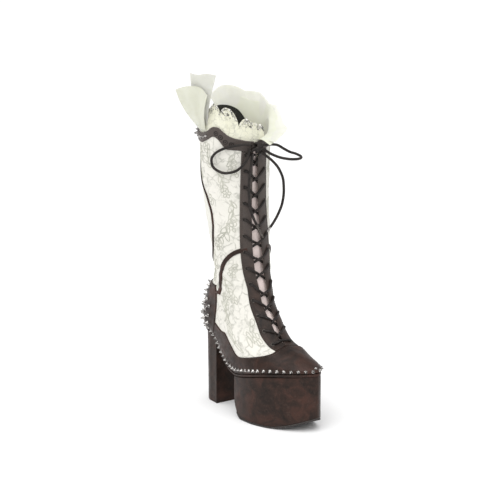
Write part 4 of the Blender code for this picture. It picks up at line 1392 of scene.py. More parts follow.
@dataclass
class Bow:
    """The knot, its loops and the two free ends with their aglets."""

    last: Last
    radius: float = 2.1
    step: float = 4.3
    aglet_radius: float = 2.1
    short_aglet: float = 9.0
    long_aglet: float = 24.0
    knot_half: Triple = (5.6, 9.6, 8.0)

    def spot(self, at: RoutePoint) -> Array:
        """Place of a route point.

        Args:
            at: Point of the route.

        Returns:
            The place.
        """
        side = Side.LEFT if at.around >= 0.0 else Side.RIGHT
        t = np.array(at.z - SHAFT_DATUM)
        arc = np.array(abs(at.around))
        return self.last.point(side, t, arc) + self.last.normal(side, t, arc) * at.out

    def route(self, rows: Sequence[RoutePoint]) -> Array:
        """Even centre line through a route.

        Args:
            rows: Points of the route.

        Returns:
            The centre line.
        """
        places = np.array([self.spot(row) for row in rows])
        ticks = np.arange(len(places))
        fine = np.linspace(0.0, len(places) - 1.0, 400)
        line = np.stack([curve_through(ticks, places[:, i])(fine) for i in range(3)], axis=1)
        return resample(line, self.step)

    def cord(self, name: str, path: Array, node: str) -> Object:
        """A cord as a bevelled curve along its centre line.

        Args:
            name: Name of the piece.
            path: Centre line.
            node: Solid that it stands for.

        Returns:
            The object.
        """
        data = bpy.data.curves.new(name, "CURVE")
        data.dimensions = "3D"
        data.bevel_depth = self.radius * MM
        data.bevel_resolution = 3
        data.use_fill_caps = True
        spline = data.splines.new("POLY")
        spline.points.add(len(path) - 1)
        for target, point in zip(spline.points, path):
            target.co = (*to_frame(point), 1.0)
        return settle(bpy.data.objects.new(name, data), CORD, (node,))

    def aglet(self, name: str, path: Array, length: float, finish: Finish, node: str) -> Object:
        """A tapered metal tip with two crimps.

        Args:
            name: Name of the piece.
            path: Centre line of its cord.
            length: Length of the tip.
            finish: Finish of the metal.
            node: Solid that it stands for.

        Returns:
            The object.
        """
        heading = unit(path[-1] - path[-2])
        r = self.aglet_radius
        profile = ((0.0, 0.0), (r * 0.86, 0.0), (r, 0.5), (r, length * 0.22), (r * 0.9, length * 0.26),
                   (r, length * 0.30), (r * 0.97, length * 0.6), (r * 0.88, length * 0.64),
                   (r * 0.95, length * 0.68), (r * 0.8, length * 0.94), (r * 0.5, length), (0.0, length))
        shape = Shape()
        shape.lathes(profile, [path[-1] - heading * 0.4], [heading], 20)
        return piece(shape, name, finish, (node,))

    def build(self) -> None:
        """Make the knot and the cords that leave it."""
        knot = self.knot()
        for name, rows, aglet in (
            ("bow_loop_right", LOOP_RIGHT, None),
            ("bow_loop_left", LOOP_LEFT, None),
            ("lace_end_left", END_LEFT, ("aglet_left", self.short_aglet, STEEL)),
            ("lace_end_front", END_FRONT, ("aglet_front", self.long_aglet, BLACK_METAL)),
        ):
            path = self.route(rows)
            item = self.cord(f"{name}_cord", path, name)
            on_cord = [knot] if rows is LOOP_RIGHT else []
            if aglet:
                on_cord.append(self.aglet(f"{aglet[0]}_tip", path, aglet[1], aglet[2], aglet[0]))
            path_length(path) * MM

    def knot(self) -> Object:
        """Cord wound round itself where the bow is tied.

        Returns:
            The object.
        """
        centre = self.spot(KNOT_PLACE)
        a, b, c = self.knot_half
        turn = np.linspace(0.0, 2.0 * math.pi, 33)
        shape = Shape()
        for lean, rise in ((0.0, -1.6), (0.35, 1.5)):
            climb = rise + lean * b * np.sin(turn)
            ring = np.stack([a * np.cos(turn), b * 0.72 * np.sin(turn), climb], axis=1)
            shape.tube(centre + ring, self.radius * 1.08, 10)
        upright = np.stack([a * 0.82 * np.cos(turn), 1.4 * np.sin(2 * turn), c * 0.8 * np.sin(turn)], axis=1)
        shape.tube(centre + upright, self.radius * 1.1, 10)
        for y, z in ((-1, 0.45), (-1, -0.5), (1, 0.42), (1, -0.05), (1, -0.5), (0, -1)):
            ends = np.array([(0.0, 0.0, 0.0), (1.0, y * b * 0.55, z * c * 0.6), (1.2, y * b * 0.98, z * c)])
            shape.tube(centre + smooth_path(ends, 6), self.radius, 10)
        return piece(shape, "lace_knot_wraps", CORD, ("lace_knot",))


@dataclass
class Lacing:
    """Eyelets and the lace that runs through them."""

    last: Last
    pairs: int = 13
    rows: Pair = (3.45, 15.85)
    column: float = 2.64
    radius: float = 1.95
    over: float = 3.6
    under: float = -3.3
    ring: float = 2.7
    wire: float = 0.62

    def eyelet_rows(self) -> Array:
        """Grid rows of the eyelets, evenly spaced along the eyestay.

        Returns:
            The rows, from the lowest.
        """
        rows = np.linspace(*self.rows, 200)
        path = self.last.on_grid(Side.RIGHT, rows, self.column)
        arc = arc_along(path)
        return np.interp(np.linspace(0.0, arc[-1], self.pairs), arc, rows)

    def build(self) -> None:
        """Make the eyelets, the discs of painted shade in their holes, and the lace."""
        rows = self.eyelet_rows()
        rings, holes = Shape(), Shape()
        turn = np.linspace(0.0, 2.0 * math.pi, 13)
        section = [(self.ring + self.wire * math.cos(a), self.wire * 0.9 * math.sin(a)) for a in turn]
        # The cups are near-black discs of painted shade for the dark inside of the eyelet holes.
        cup = ((0.0, -0.5), (self.ring * 0.7, -0.45), (self.ring, 0.1), (self.ring, -0.7), (0.0, -0.9))
        nodes = []
        for side, word in ((Side.LEFT, "left"), (Side.RIGHT, "right")):
            axes = self.last.grid_normal(side, rows, self.column)
            seats = self.last.on_grid(side, rows, self.column, GAP + OVERLAY + 0.35)
            rings.lathes(section, seats, axes, 24)
            holes.lathes(cup, seats, axes, 16)
            nodes += [f"eyelet_{word}_{number:02d}" for number in range(1, self.pairs + 1)]
        piece(rings, "eyelet_rings", BLACK_METAL, nodes)
        piece(holes, "eyelet_hole_shade", FACING)
        halves = [self.half(rows, side, number) for number, side in enumerate(Side)]
        path = np.concatenate([halves[0][::-1], halves[1][1:]])
        shape = Shape()
        shape.tube(resample(smooth_path(path, 10), 1.3), self.radius, 10)
        piece(shape, "lace_through_eyelets", CORD, ("lacing",))

    def half(self, rows: Array, first: Side, number: int) -> Array:
        """Control points of half the lace, from the bottom bar up to the knot.

        Args:
            rows: Grid rows of the eyelets.
            first: Side that it starts on.
            number: Which half, 0 or 1.

        Returns:
            The points.
        """
        side = first
        points = [self.last.throat(rows[0], self.over - 0.6)]
        points.append(self.last.on_grid(side, rows[0], 0.6, self.over))
        points += self.into(side, rows[0])
        for i, (low, high) in enumerate(zip(rows[:-1], rows[1:])):
            step = high - low
            lift = 1.9 if (i + number) % 2 else -1.9
            points.append(self.last.on_grid(side, low + 0.2 * step, 0.9, self.under))
            points.append(self.last.throat(low + 0.5 * step, lift))
            side = Side(-side)
            if i < len(rows) - 2:
                points.append(self.last.on_grid(side, low + 0.72 * step, 0.4, self.over))
                points += self.into(side, high)
            else:
                points.append(self.last.on_grid(side, low + 0.8 * step, 0.9, self.under))
                points += self.into(side, high)[::-1]
        points.append(self.last.on_grid(side, rows[-1] + 0.05, 0.8, self.over + 0.4))
        end = LACE_END._replace(around=LACE_END_MIDDLE + side * LACE_END.around)
        points.append(Bow(self.last).spot(end))
        return np.array(points)

    def into(self, side: Side, row: float) -> list[Array]:
        """Points that take the lace over the eyelet's rim and down its hole.

        Args:
            side: Side of the boot.
            row: Grid row of the eyelet.

        Returns:
            The points, from the outside in.
        """
        return [self.last.on_grid(side, row - 0.03, self.column - 0.75, self.over + 0.1),
                self.last.on_grid(side, row, self.column - 0.05, 1.6),
                self.last.on_grid(side, row, self.column, self.under)]


NEAR_COLUMNS = (0.0, 0.02, 0.06, 0.13, 0.22)
NEAR_ROWS = (0.0, 0.006, 0.018, 0.036, 0.06)
NEAR_FOX = (0.0, 0.02, 0.06, 0.12, 0.2)


@dataclass
class Upper:
    """Lace upper, lining, tongue and the plain back panel."""

    last: Last
    cloth: float = 0.9
    tongue_thick: float = 1.5
    turned_in: float = 0.4
    tongue_half: float = 2.6
    tongue_flat: float = 0.6
    tongue_sunk: Pair = (6.2, 6.9)
    clear: float = 1.5
    sprig_levels: Pair = (24.0, 345.0)
    sprig_start: float = 20.0
    sprig_turn: float = 35.0
    sprig_shift: float = 6.0
    sprig_stagger: float = 18.0
    sprig_pitch: Pair = (41.0, 37.0)
    sprig_wire: float = 0.6
    sprig_scale: float = 1.4

    def build(self) -> None:
        """Make the cloth pieces from the outside in."""
        stops = ((0.0, ROW_FOX, 23), (ROW_FOX, ROW_COUNTER, 51), (ROW_COUNTER, ROW_BAND, 95))
        rows = np.concatenate([np.linspace(low, high, count, endpoint=False) for low, high, count in stops]
                              + [np.linspace(ROW_BAND, ROW_EDGE, 8)])
        stations = round_back(self.turned_in, self.turned_in, 0.24, (0.0, 0.1))
        outer = Shape()
        points, normals = self.last.sheet(rows, stations, -self.cloth)
        outer.shell(points, normals, self.cloth, 0.5)
        piece(outer, "lace_upper", LACE, ("upper",))
        inner = Shape()
        points, normals = self.last.sheet(rows[::2], stations[::2], -WALL)
        inner.shell(points, normals, WALL - self.cloth - 0.05, 0.5)
        piece(inner, "upper_lining", LINING)
        self.tongue()
        self.sprigs()

    def tongue(self) -> None:
        """The tongue, pressed in a little under the lace."""
        flat = self.tongue_flat
        rows = ladder(ROW_FOX + 0.02, ROW_EDGE - 0.72, 0.09, NEAR_ROWS)
        columns = ladder(-self.tongue_half, self.tongue_half, 0.16, NEAR_COLUMNS)
        points = np.empty((len(rows), len(columns), 3))
        normals = np.empty_like(points)
        for i, row in enumerate(rows):
            left, right = (self.last.on_grid(side, row, 0.0) for side in Side)
            out = unit(sum(self.last.grid_normal(side, row, 0.0) for side in Side))
            for j, column in enumerate(columns):
                if abs(column) < flat:
                    share = (column / flat + 1.0) / 2.0
                    points[i, j] = left * (1.0 - share) + right * share - out * self.tongue_sunk[0]
                    normals[i, j] = out
                else:
                    side = Side.RIGHT if column > 0 else Side.LEFT
                    points[i, j] = self.last.on_grid(side, row, abs(column) - flat, -self.tongue_sunk[1])
                    normals[i, j] = self.last.grid_normal(side, row, abs(column) - flat)
        shape = Shape()
        shape.shell(points, normals, self.tongue_thick, 1.0)
        piece(shape, "tongue_cloth", TONGUE_CLOTH, ("tongue",))

    def motif(self) -> Array:
        """Outlines of one sprig in millimetres: a stem, paired leaves and a flower.

        Returns:
            Points by outline.
        """
        s = np.linspace(0.0, 1.0, 15)
        curves = [np.stack([3.0 * np.sin(5.0 * s), -15.0 + 26.0 * s], axis=1)]
        loop = 2.0 * math.pi * (0.01 + 0.98 * s)
        for stem, angle, length in ((0.10, 55, 8.5), (0.22, 125, 9.5), (0.40, 50, 10.0), (0.52, 130, 9.0),
                                    (0.70, 48, 7.5), (0.80, 132, 6.5)):
            root = np.array([3.0 * math.sin(5.0 * stem), -15.0 + 26.0 * stem])
            ahead = np.array([math.cos(math.radians(angle)), math.sin(math.radians(angle))])
            aside = np.array([-ahead[1], ahead[0]])
            leaf = np.outer(length * (1.0 - np.cos(loop)) / 2.0, ahead)
            leaf += np.outer(length * 0.24 * np.sin(loop) * (1.0 + 0.3 * np.cos(loop)), aside)
            curves.append(root + leaf)
        for petal in range(5):
            angle = math.radians(90 + 72 * petal)
            ahead = np.array([math.cos(angle), math.sin(angle)])
            aside = np.array([-ahead[1], ahead[0]])
            outline = np.outer(1.0 + 4.6 * (1.0 - np.cos(loop)) / 2.0, ahead)
            outline += np.outer(1.9 * np.sin(loop), aside)
            curves.append(np.array([-1.0, 14.5]) + outline)
        return np.array(curves)

    def sprigs(self) -> None:
        """Corded outlines of sprigs, raised on the lace."""
        motif = self.motif()
        draw = np.random.default_rng(SEED)
        shape = Shape()
        for side in Side:
            for i, t0 in enumerate(np.arange(*self.sprig_levels, self.sprig_pitch[0])):
                length = float(self.last.length(side, t0))
                for j, arc0 in enumerate(np.arange(self.sprig_start, length, self.sprig_pitch[1])):
                    turn = draw.uniform(-self.sprig_turn, self.sprig_turn)
                    angle = math.radians(turn + (180 if (i + j) % 2 else 0))
                    shift = draw.uniform(-self.sprig_shift, self.sprig_shift, 2)
                    shift[1] += self.sprig_stagger * (i % 2)
                    c, s = math.cos(angle), math.sin(angle)
                    local = motif @ np.array([[c, -s], [s, c]]).T
                    local = local * draw.uniform(0.85, 1.1) * self.sprig_scale
                    t = t0 + shift[0] + local[..., 1]
                    arc = arc0 + shift[1] + local[..., 0]
                    keep = self.on_lace(side, t, arc).all(axis=1)
                    if not keep.any():
                        continue
                    paths = self.last.place(side, t[keep], arc[keep], 0.12)
                    normals = self.last.normal(side, t[keep], arc[keep])
                    across = unit(np.cross(np.gradient(paths, axis=1), normals))
                    wire = np.full(paths.shape[1], self.sprig_wire)
                    shape.ribbon_tube(paths, across, normals, wire, 4, 0.8)
        piece(shape, "lace_sprigs", SPRIG)

    def on_lace(self, side: Side, t: Array, arc: Array) -> Array:
        """Whether places lie on the bare lace, clear of the leather pieces.

        Args:
            side: Side of the boot.
            t: Levels up the last.
            arc: Distances from the front centre.

        Returns:
            True where a place is clear.
        """
        length = self.last.length(side, t)
        stay = THROAT_CURVES["half_gap"](t) + THROAT_CURVES["stay"](t)
        counter = length - THROAT_CURVES["counter"](t)
        low = vamp_edge_level(arc / length) + self.clear
        top = collar_edge_height(arc / length) - SHAFT_DATUM - band_depth(arc / length) - self.clear
        back = np.where(t < COUNTER_TOP_T + 2.0, counter - self.clear, length - back_reach(t) - 2.5)
        return (arc > stay + self.clear) & (arc < back) & (t > low) & (t < top)


ANKLE_STRAP = ((70.5, 187), (73.5, 198), (78, 212), (84, 230), (93, 246), (103, 257), (110, 262), (115, 264))
STRAP_KEEPER = ((70, 188), (65, 187.5), (60, 187))
BACK_PIPING = ((14, 207), (28, 230), (52, 252), (73, 286), (80, 312), (76, 338), (50, 374), (35, 412),
               (30, 430))
back_reach = curve_through([z - SHAFT_DATUM for _, z in BACK_PIPING], [reach for reach, _ in BACK_PIPING])


@dataclass
class Overlays:
    """Leather pieces laid over the upper, with their stitching."""

    last: Last
    seat: float = 0.12
    thick: float = OVERLAY + GAP
    rounding: float = 1.3
    stitch_pitch: float = 3.2
    strap_size: Pair = (7.0, 2.1)
    keeper_size: Pair = (4.6, 3.0)
    piping_size: Pair = (4.0, 1.8)
    # pieces dressed in the paler leather, which is partly painted light
    paler: tuple[str, ...] = ("eyestay_left", "eyestay_right", "collar_band")

    def build(self) -> None:
        """Make the panels, the straps and the stitches."""
        threads = Shape()
        front = round_front(COL_COUNTER - 0.04, 0.16, NEAR_COLUMNS)
        self.panel("vamp_leather", ladder(0.0, ROW_FOX, 0.07, NEAR_FOX), front, "vamp")
        counter = round_back(COL_COUNTER + 0.04, COL_COUNTER + 0.04, 0.17, NEAR_COLUMNS)
        self.panel("counter_leather", ladder(0.0, ROW_COUNTER, 0.1, NEAR_ROWS), counter, "counter")
        for side, word in ((Side.LEFT, "left"), (Side.RIGHT, "right")):
            columns = ladder(0.0, COL_STAY, 0.16, NEAR_COLUMNS)
            stations = np.array([(side, column) for column in columns])
            rows = ladder(ROW_FOX + 0.004, ROW_BAND - 0.004, 0.075, NEAR_ROWS)
            self.panel(f"eyestay_leather_{word}", rows, stations, f"eyestay_{word}")
            stay_rows = np.linspace(ROW_FOX + 0.3, ROW_BAND - 0.1, 400)
            for column in (0.45, 3.55, 3.25):
                self.stitch(threads, side, stay_rows, np.full(400, column))
            back = COL_COUNTER + 0.3
            seams = ((ROW_FOX - 0.17, ROW_FOX - 0.17, 0.2, COL_COUNTER - 0.3, 300),
                     (0.6, ROW_COUNTER - 0.15, back, back, 200),
                     (ROW_COUNTER - 0.12, ROW_COUNTER - 0.12, back, COL_BACK, 160))
            for low, high, near, far, count in seams:
                self.stitch(threads, side, np.linspace(low, high, count), np.linspace(near, far, count))
        band = round_back(0.0, 0.0, 0.15, NEAR_COLUMNS)
        band_rows = ladder(ROW_BAND, ROW_EDGE, 0.07, (0.0, 0.01, 0.03, 0.06, 0.1))
        self.panel("collar_band_leather", band_rows, band, "collar_band")
        piece(threads, "stitching", THREAD)
        self.straps()
        self.back_panel()

    def panel(self, name: str, rows: Array, stations: Array, node: str) -> None:
        """One leather panel with rounded edges.

        Args:
            name: Name of the piece.
            rows: Grid rows.
            stations: Sides and columns along the panel.
            node: Solid that it stands for.
        """
        points, normals = self.last.sheet(rows, stations, self.seat)
        shape = Shape()
        shape.shell(points, normals, self.thick, self.rounding)
        piece(shape, name, STAY_LEATHER if node in self.paler else LEATHER, (node,))

    def stitch(self, shape: Shape, side: Side, rows: Array, columns: Array) -> None:
        """A row of stitches along a line on the grid.

        Args:
            shape: Shape that takes it in.
            side: Side of the boot.
            rows: Grid rows.
            columns: Grid columns.
        """
        path = self.last.on_grid(side, rows, columns, self.seat + self.thick)
        arc = arc_along(path)
        starts = np.arange(0.5, arc[-1] - self.stitch_pitch, self.stitch_pitch)
        spans = starts[:, None] + np.linspace(0.0, 0.68 * self.stitch_pitch, 4)
        paths = np.stack([np.interp(spans, arc, path[:, i]) for i in range(3)], axis=-1)
        lines = np.stack([np.interp(spans, arc, rows), np.interp(spans, arc, columns)])
        normals = self.last.grid_normal(side, lines[0], lines[1])
        across = unit(np.cross(np.gradient(paths, axis=1), normals))
        shape.ribbon_tube(paths, across, normals, np.array((0.2, 0.42, 0.42, 0.2)), 5, 0.75)

    def strip(self, side: Side, route: Array, width: float, thick: float, shape: Shape) -> None:
        """A domed strip along a route of levels and distances.

        Args:
            side: Side of the boot.
            route: Levels and distances.
            width: Width.
            thick: Height of the dome.
            shape: Shape that takes it in.
        """
        ticks = np.arange(len(route))
        stops = np.linspace(0.0, len(route) - 1.0, 90)
        line = np.stack([curve_through(ticks, route[:, i])(stops) for i in range(2)], axis=1)
        along = unit(np.gradient(line, axis=0))
        across = np.stack([-along[:, 1], along[:, 0]], axis=1)
        turn = np.linspace(0.0, math.pi, 11)
        taper = np.ones(len(stops))
        taper[0] = taper[-1] = 0.82
        half = (np.cos(turn) * width / 2.0)[None, :, None]
        spots = line[:, None] + across[:, None] * half * taper[:, None, None]
        lift = np.sin(turn)[None] ** 0.6 * (thick * taper)[:, None] + self.seat
        top = self.last.place(side, spots[..., 0], spots[..., 1], lift)
        base = self.last.place(side, spots[..., 0], spots[..., 1], np.full_like(lift, self.seat - 0.1))
        ring = np.concatenate([top, base[:, ::-1]], axis=1)
        shape.closed_tube(ring)

    def straps(self) -> None:
        """Ankle straps with their keepers, and the piping of the back panel."""
        for side, word in ((Side.LEFT, "left"), (Side.RIGHT, "right")):
            strap = Shape()
            route = np.array([self.last.level_through(side, x, z) for x, z in ANKLE_STRAP])
            self.strip(side, route, *self.strap_size, strap)
            keeper = np.array([self.last.level_through(side, x, z) for x, z in STRAP_KEEPER])
            self.strip(side, keeper, *self.keeper_size, strap)
            piece(strap, f"ankle_strap_leather_{word}", LEATHER, (f"ankle_strap_{word}",))
            piping = Shape()
            route = np.array([(z - SHAFT_DATUM, float(self.last.length(side, z - SHAFT_DATUM)) - reach)
                              for reach, z in BACK_PIPING])
            self.strip(side, route, *self.piping_size, piping)
            piece(piping, f"back_piping_cord_{word}", LEATHER, (f"back_piping_{word}",))

    def back_panel(self) -> None:
        """The plainer cloth between the two pipings."""
        levels = np.linspace(BACK_PIPING[0][1] - SHAFT_DATUM, BACK_PIPING[-1][1] - SHAFT_DATUM, 150)
        shares = np.linspace(-1.0, 1.0, 81)
        points = np.empty((len(levels), len(shares), 3))
        normals = np.empty_like(points)
        for side in Side:
            pick = shares >= 0.0 if side == Side.LEFT else shares < 0.0
            t = np.repeat(levels[:, None], pick.sum(), axis=1)
            arc = self.last.length(side, t) - back_reach(t) * np.abs(shares[pick])[None]
            points[:, pick] = self.last.place(side, t, arc, 0.04)
            normals[:, pick] = self.last.normal(side, t, arc)
        shape = Shape()
        shape.shell(points, normals, 0.35, 0.6)
        piece(shape, "back_panel", BACK_CLOTH)


@dataclass(frozen=True)
class Slab:
    """A sole piece lofted along the boot with rounded edges."""

    name: str
    node: str
    finish: Finish
    start: float
    end: float
    grow: float
    top: Callable[[Array], Array]
    bottom: Callable[[Array], Array]
    rounding: float
    top_rounding: float = 0.6
    back_slope: float = 0.0
    square_end: bool = False
    stations: int = 130

    def build(self) -> None:
        """Loft a rounded section along eased stations."""
        base = LEVELS[0]
        turn = np.linspace(0.0, math.pi / 2.0 if self.square_end else math.pi, self.stations)
        ends = (self.end - self.start) * (1.0 - np.cos(turn))
        x = self.start + (ends if self.square_end else ends / 2.0)
        half = half_width(base, x, self.grow)
        low, high = self.bottom(x), self.top(x)
        most = np.minimum(half * 0.8, (high - low) * 0.45)
        radii = {-1: np.minimum(self.rounding, most), 1: np.minimum(self.top_rounding, most)}
        corner = np.linspace(0.0, math.pi / 2.0, 6)
        section = []
        for sign_y, sign_z, order in ((1, -1, 1), (1, 1, -1), (-1, 1, 1), (-1, -1, -1)):
            angles = corner[::order]
            level = high if sign_z > 0 else low
            radius = radii[sign_z]
            for angle in angles:
                y = sign_y * (half - radius + radius * np.sin(angle))
                z = level - sign_z * (radius - radius * np.cos(angle))
                section.append((y, z))
        ring = np.stack([np.stack([np.zeros_like(x), y, z], axis=1) for y, z in section], axis=1)
        up = (ring[..., 2] - low[:, None]) / np.maximum(high - low, 1e-6)[:, None]
        slope = self.back_slope * ((self.end - x) / (self.end - self.start))[:, None] * (1.0 - up)
        ring[..., 0] = x[:, None] + slope
        ring[..., 1] += centre_line(ring[..., 0])
        shape = Shape()
        shape.closed_tube(ring)
        piece(shape, self.name, self.finish, (self.node,))


@dataclass
class Sole:
    """Outsole, platform, board, heel and insole."""

    edge: float = 1.5
    platform_rear: float = 118.0
    rear_round: Pair = (21.0, 30.0)
    spring_start: float = 188.0
    toe_spring: float = 18.5
    spring_power: float = 1.7
    outsole: float = 3.0
    cut: float = 0.02

    def floor_line(self, x: Array) -> Array:
        """Underside of the forefoot sole.

        Args:
            x: Distances along the boot.

        Returns:
            Heights.
        """
        length, height = self.rear_round
        rear = np.clip((self.platform_rear + length - x) / length, 0.0, 1.0)
        toe = np.clip((x - self.spring_start) / (TOE_X - self.spring_start), 0.0, None)
        return height * (1.0 - np.sqrt(1.0 - rear ** 2)) + self.toe_spring * toe ** self.spring_power

    def build(self) -> None:
        """Make the sole pieces from the floor up."""
        base = LEVELS[0]
        tip = base.front_x + self.edge - self.cut
        lift = self.outsole + GAP
        Slab("outsole_rubber", "outsole", RUBBER, self.platform_rear + 7.0, tip, self.edge,
             lambda x: self.floor_line(x) + self.outsole, self.floor_line, 0.7).build()
        Slab("platform_cover", "platform", SOLE_LEATHER, self.platform_rear + self.cut, tip, self.edge,
             lambda x: board_bottom(x) - GAP, lambda x: self.floor_line(x) + lift, 1.2, top_rounding=3.0,
             stations=220).build()
        Slab("board_cover", "midsole_board", LEATHER, base.back_x - self.edge + self.cut, tip,
             self.edge + 0.3, board_top, board_bottom, 2.4, stations=240).build()
        Slab("heel_cover", "heel_block", SOLE_LEATHER, base.back_x + 1.0 + self.cut, HEEL_BREAST, -1.0,
             lambda x: board_bottom(x) - GAP, np.zeros_like, 1.0, back_slope=3.0, square_end=True).build()
        inner = -(WALL + 2.4)
        Slab("insole_cloth", "insole", LINING, base.back_x - inner + self.cut,
             base.front_x + inner - self.cut, inner, lambda x: bed_height(x) + 2.2,
             lambda x: bed_height(x) + 0.2, 0.8).build()


# Turned forms of the metal trim, as radius and height pairs from the base up
CONE = ((0.0, -0.4), (2.5, -0.4), (2.8, 0.1), (2.5, 0.5), (2.2, 0.8), (1.4, 2.4), (0.6, 3.9), (0.0, 4.5))
SPIKE = ((0.0, -0.4), (2.8, -0.4), (3.0, 0.4), (2.5, 1.0), (1.7, 3.2), (0.9, 5.2), (0.0, 6.2))
DOME = ((0.0, -0.3), (2.4, -0.3), (2.5, 0.3), (2.1, 1.2), (1.2, 2.0), (0.0, 2.3))
RING = ((3.4, -0.3), (3.8, 0.25), (3.3, 0.6), (2.6, 0.35), (2.3, -0.3), (3.4, -0.3))
BOSS = ((0.0, -0.3), (1.3, -0.3), (1.2, 0.3), (0.6, 0.55), (0.0, 0.6))
# Grid rows and columns of the trim on the counter and on the collar band
SPIKE_ROWS = (1.9, 2.6, 3.3, 4.0, 4.8, 5.6, 6.5, 7.4)
EVEN_COLUMNS, ODD_COLUMNS = (18.0, 19.8, 21.6, 22.95), (18.9, 20.7, 22.5)
BAND_SPIKES, BAND_DOMES = (17.3, 18.9, 20.4, 22.0), (12.3, 13.3, 14.3, 15.3, 16.3)
BAND_RINGS = (6.2, 7.5, 8.5, 9.5)


@dataclass
class Studs:
    """Cone studs, spikes and the band's embossed rings."""

    last: Last
    pitch: Pair = (11.2, 8.7)
    front_reach: float = 100.0
    level: float = 4.6
    toe_level: float = 9.0

    def build(self) -> None:
        """Make the metal in joined pieces."""
        shape = Shape()
        top = OVERLAY + GAP
        for side in Side:
            length = float(self.last.length(side, self.level))
            front = np.arange(self.pitch[0] / 2.0, self.front_reach, self.pitch[0])
            arcs = np.concatenate([front, np.arange(front[-1] + self.pitch[1], length, self.pitch[1])])
            levels = np.full_like(arcs, self.level)
            axes = self.last.normal(side, levels, arcs)
            shape.lathes(CONE, self.last.place(side, levels, arcs, top), axes, 18)
        piece(shape, "feather_studs", STEEL)
        self.spikes()
        self.rings()

    def spikes(self) -> None:
        """Spikes down the back of the counter and round the back of the band."""
        shape = Shape()
        top = OVERLAY + GAP
        for number, row in enumerate(SPIKE_ROWS):
            columns = np.array(ODD_COLUMNS if number % 2 else EVEN_COLUMNS)
            columns = columns[columns > 17.2 + 0.32 * max(0.0, row - 4.0)]
            levels = np.full_like(columns, row)
            for side in Side:
                axes = self.last.grid_normal(side, levels, columns)
                shape.lathes(SPIKE, self.last.on_grid(side, levels, columns, top), axes, 14)
        for side in Side:
            for form, columns in ((SPIKE, BAND_SPIKES), (DOME, BAND_DOMES)):
                spots = np.array(columns)
                levels = np.full_like(spots, ROW_BAND + 0.5)
                axes = self.last.grid_normal(side, levels, spots)
                shape.lathes(form, self.last.on_grid(side, levels, spots, top), axes, 14)
        toe = (Side.RIGHT, np.array([self.toe_level]), np.array([0.0]))
        shape.lathes(DOME, self.last.place(*toe, top), self.last.normal(*toe), 14)
        piece(shape, "counter_spikes", STEEL)

    def rings(self) -> None:
        """Pressed rings along the front of the collar band."""
        shape = Shape()
        spots = np.array(BAND_RINGS)
        levels = np.full_like(spots, ROW_BAND + 0.45)
        for side in Side:
            seats = self.last.on_grid(side, levels, spots, OVERLAY + GAP)
            axes = self.last.grid_normal(side, levels, spots)
            shape.lathes(RING, seats, axes, 22)
            shape.lathes(BOSS, seats, axes, 14)
        piece(shape, "band_rings", CORD)


class FrillRow(NamedTuple):
    """Height and outward lean of the far frill's rim at a share of its length."""

    share: float
    height: float
    lean: float


FRILL_ROWS = rows_of(
    FrillRow, (0.00, 30, 8), (0.09, 46, 10), (0.18, 49, 10), (0.27, 47, 10), (0.36, 43, 10),
    (0.45, 35, 10), (0.55, 20, 12), (0.64, 11, 17), (0.73, 10, 25), (0.82, 10, 33), (0.91, 7, 36),
    (1.00, 2, 36),
)
FRILL_CURVES = columns_of(FRILL_ROWS, "share")
LEVEL = np.array([1.0, 1.0, 0.0])


def cloth_piece(name: str, grid: Array, finish: Finish, nodes: Sequence[str], thick: float = 0.45) -> None:
    """Make a thin gathered sheet over a grid and state its cut size.

    Args:
        name: Name of the piece.
        grid: Rows from the root to the rim.
        finish: Its finish.
        nodes: Solids that it takes the place of.
        thick: Thickness of the cloth.
    """
    facing = unit(np.cross(np.gradient(grid, axis=1), np.gradient(grid, axis=0)))
    shape = Shape()
    shape.shell(grid, facing, thick, 0.4)
    item = piece(shape, name, finish, nodes)
    width = float(np.mean([path_length(row) for row in grid]))
    tall = float(np.mean([path_length(grid[:, j]) for j in range(0, grid.shape[1], 12)]))
    LOG.info("%s: cut %.0f by %.0f mm", name, width, tall)


def collar_line(last: Last, stations: Array, inset: float, root: float) -> tuple[Array, Array, Array]:
    """Where a frill stands on the collar.

    Args:
        last: The boot's surface.
        stations: Pairs of side and column.
        inset: Distance in from the wall's inner face.
        root: Grid rows by which the frill reaches down inside.

    Returns:
        Points on the collar's edge, level outward directions, and the points of the root.
    """
    inside = -(WALL + GAP + inset)
    base, normals = last.sheet(np.array([float(ROW_EDGE)]), stations, inside)
    below = last.sheet(np.array([ROW_EDGE - root]), stations, inside)[0][0]
    return base[0], unit(normals[0] * LEVEL), below


@dataclass(frozen=True)
class Ruffle:
    """One gathered sheet that stands up from inside the collar."""

    name: str
    columns: Pair
    scale: Pair
    waves: float
    wave: float
    finish: Finish
    phase: float = 0.0
    inset: float = 0.0
    root: float = 0.5
    sweep: float = 0.0
    arch: float = 0.0
    drop: float = 0.0

    def build(self, last: Last, nodes: Sequence[str]) -> None:
        """Make the sheet from its root to its rim.

        Args:
            last: The boot's surface.
            nodes: Solids that it stands for.
        """
        share = np.linspace(0.0, 1.0, 220)
        line = self.columns[0] + (self.columns[1] - self.columns[0]) * share
        stations = past_back(line)
        base, out, below = collar_line(last, stations, self.inset, self.root)
        height = self.scale[0] * FRILL_CURVES["height"](share)
        lean = self.scale[1] * FRILL_CURVES["lean"](share)
        angle = 2.0 * math.pi * self.waves * share + self.phase
        fold = np.sin(angle) + 0.25 * np.sin(2.3 * angle + 1.1)
        lobes = np.abs(np.sin(0.5 * angle + 0.4)) - 0.6
        aside = unit(base[0] - base[6]) * self.sweep
        start = np.clip(1.0 - share / 0.30, 0.0, 1.0) ** 1.6
        front = ease((share - 0.6) / 0.4)
        lines = [below]
        for v in np.linspace(0.0, 1.0, 34):
            flare = lean * v ** 1.4 + self.wave * fold * v ** 1.2
            rise = height * v * (1.0 + 0.12 * v * v * lobes)
            rise = rise + front * (self.arch * math.sin(math.pi * v) - self.drop * v)
            swept = aside * (start * v ** 2.2)[:, None]
            lines.append(base + out * flare[:, None] + UP * rise[:, None] + swept)
        cloth_piece(self.name, np.array(lines), self.finish, nodes)


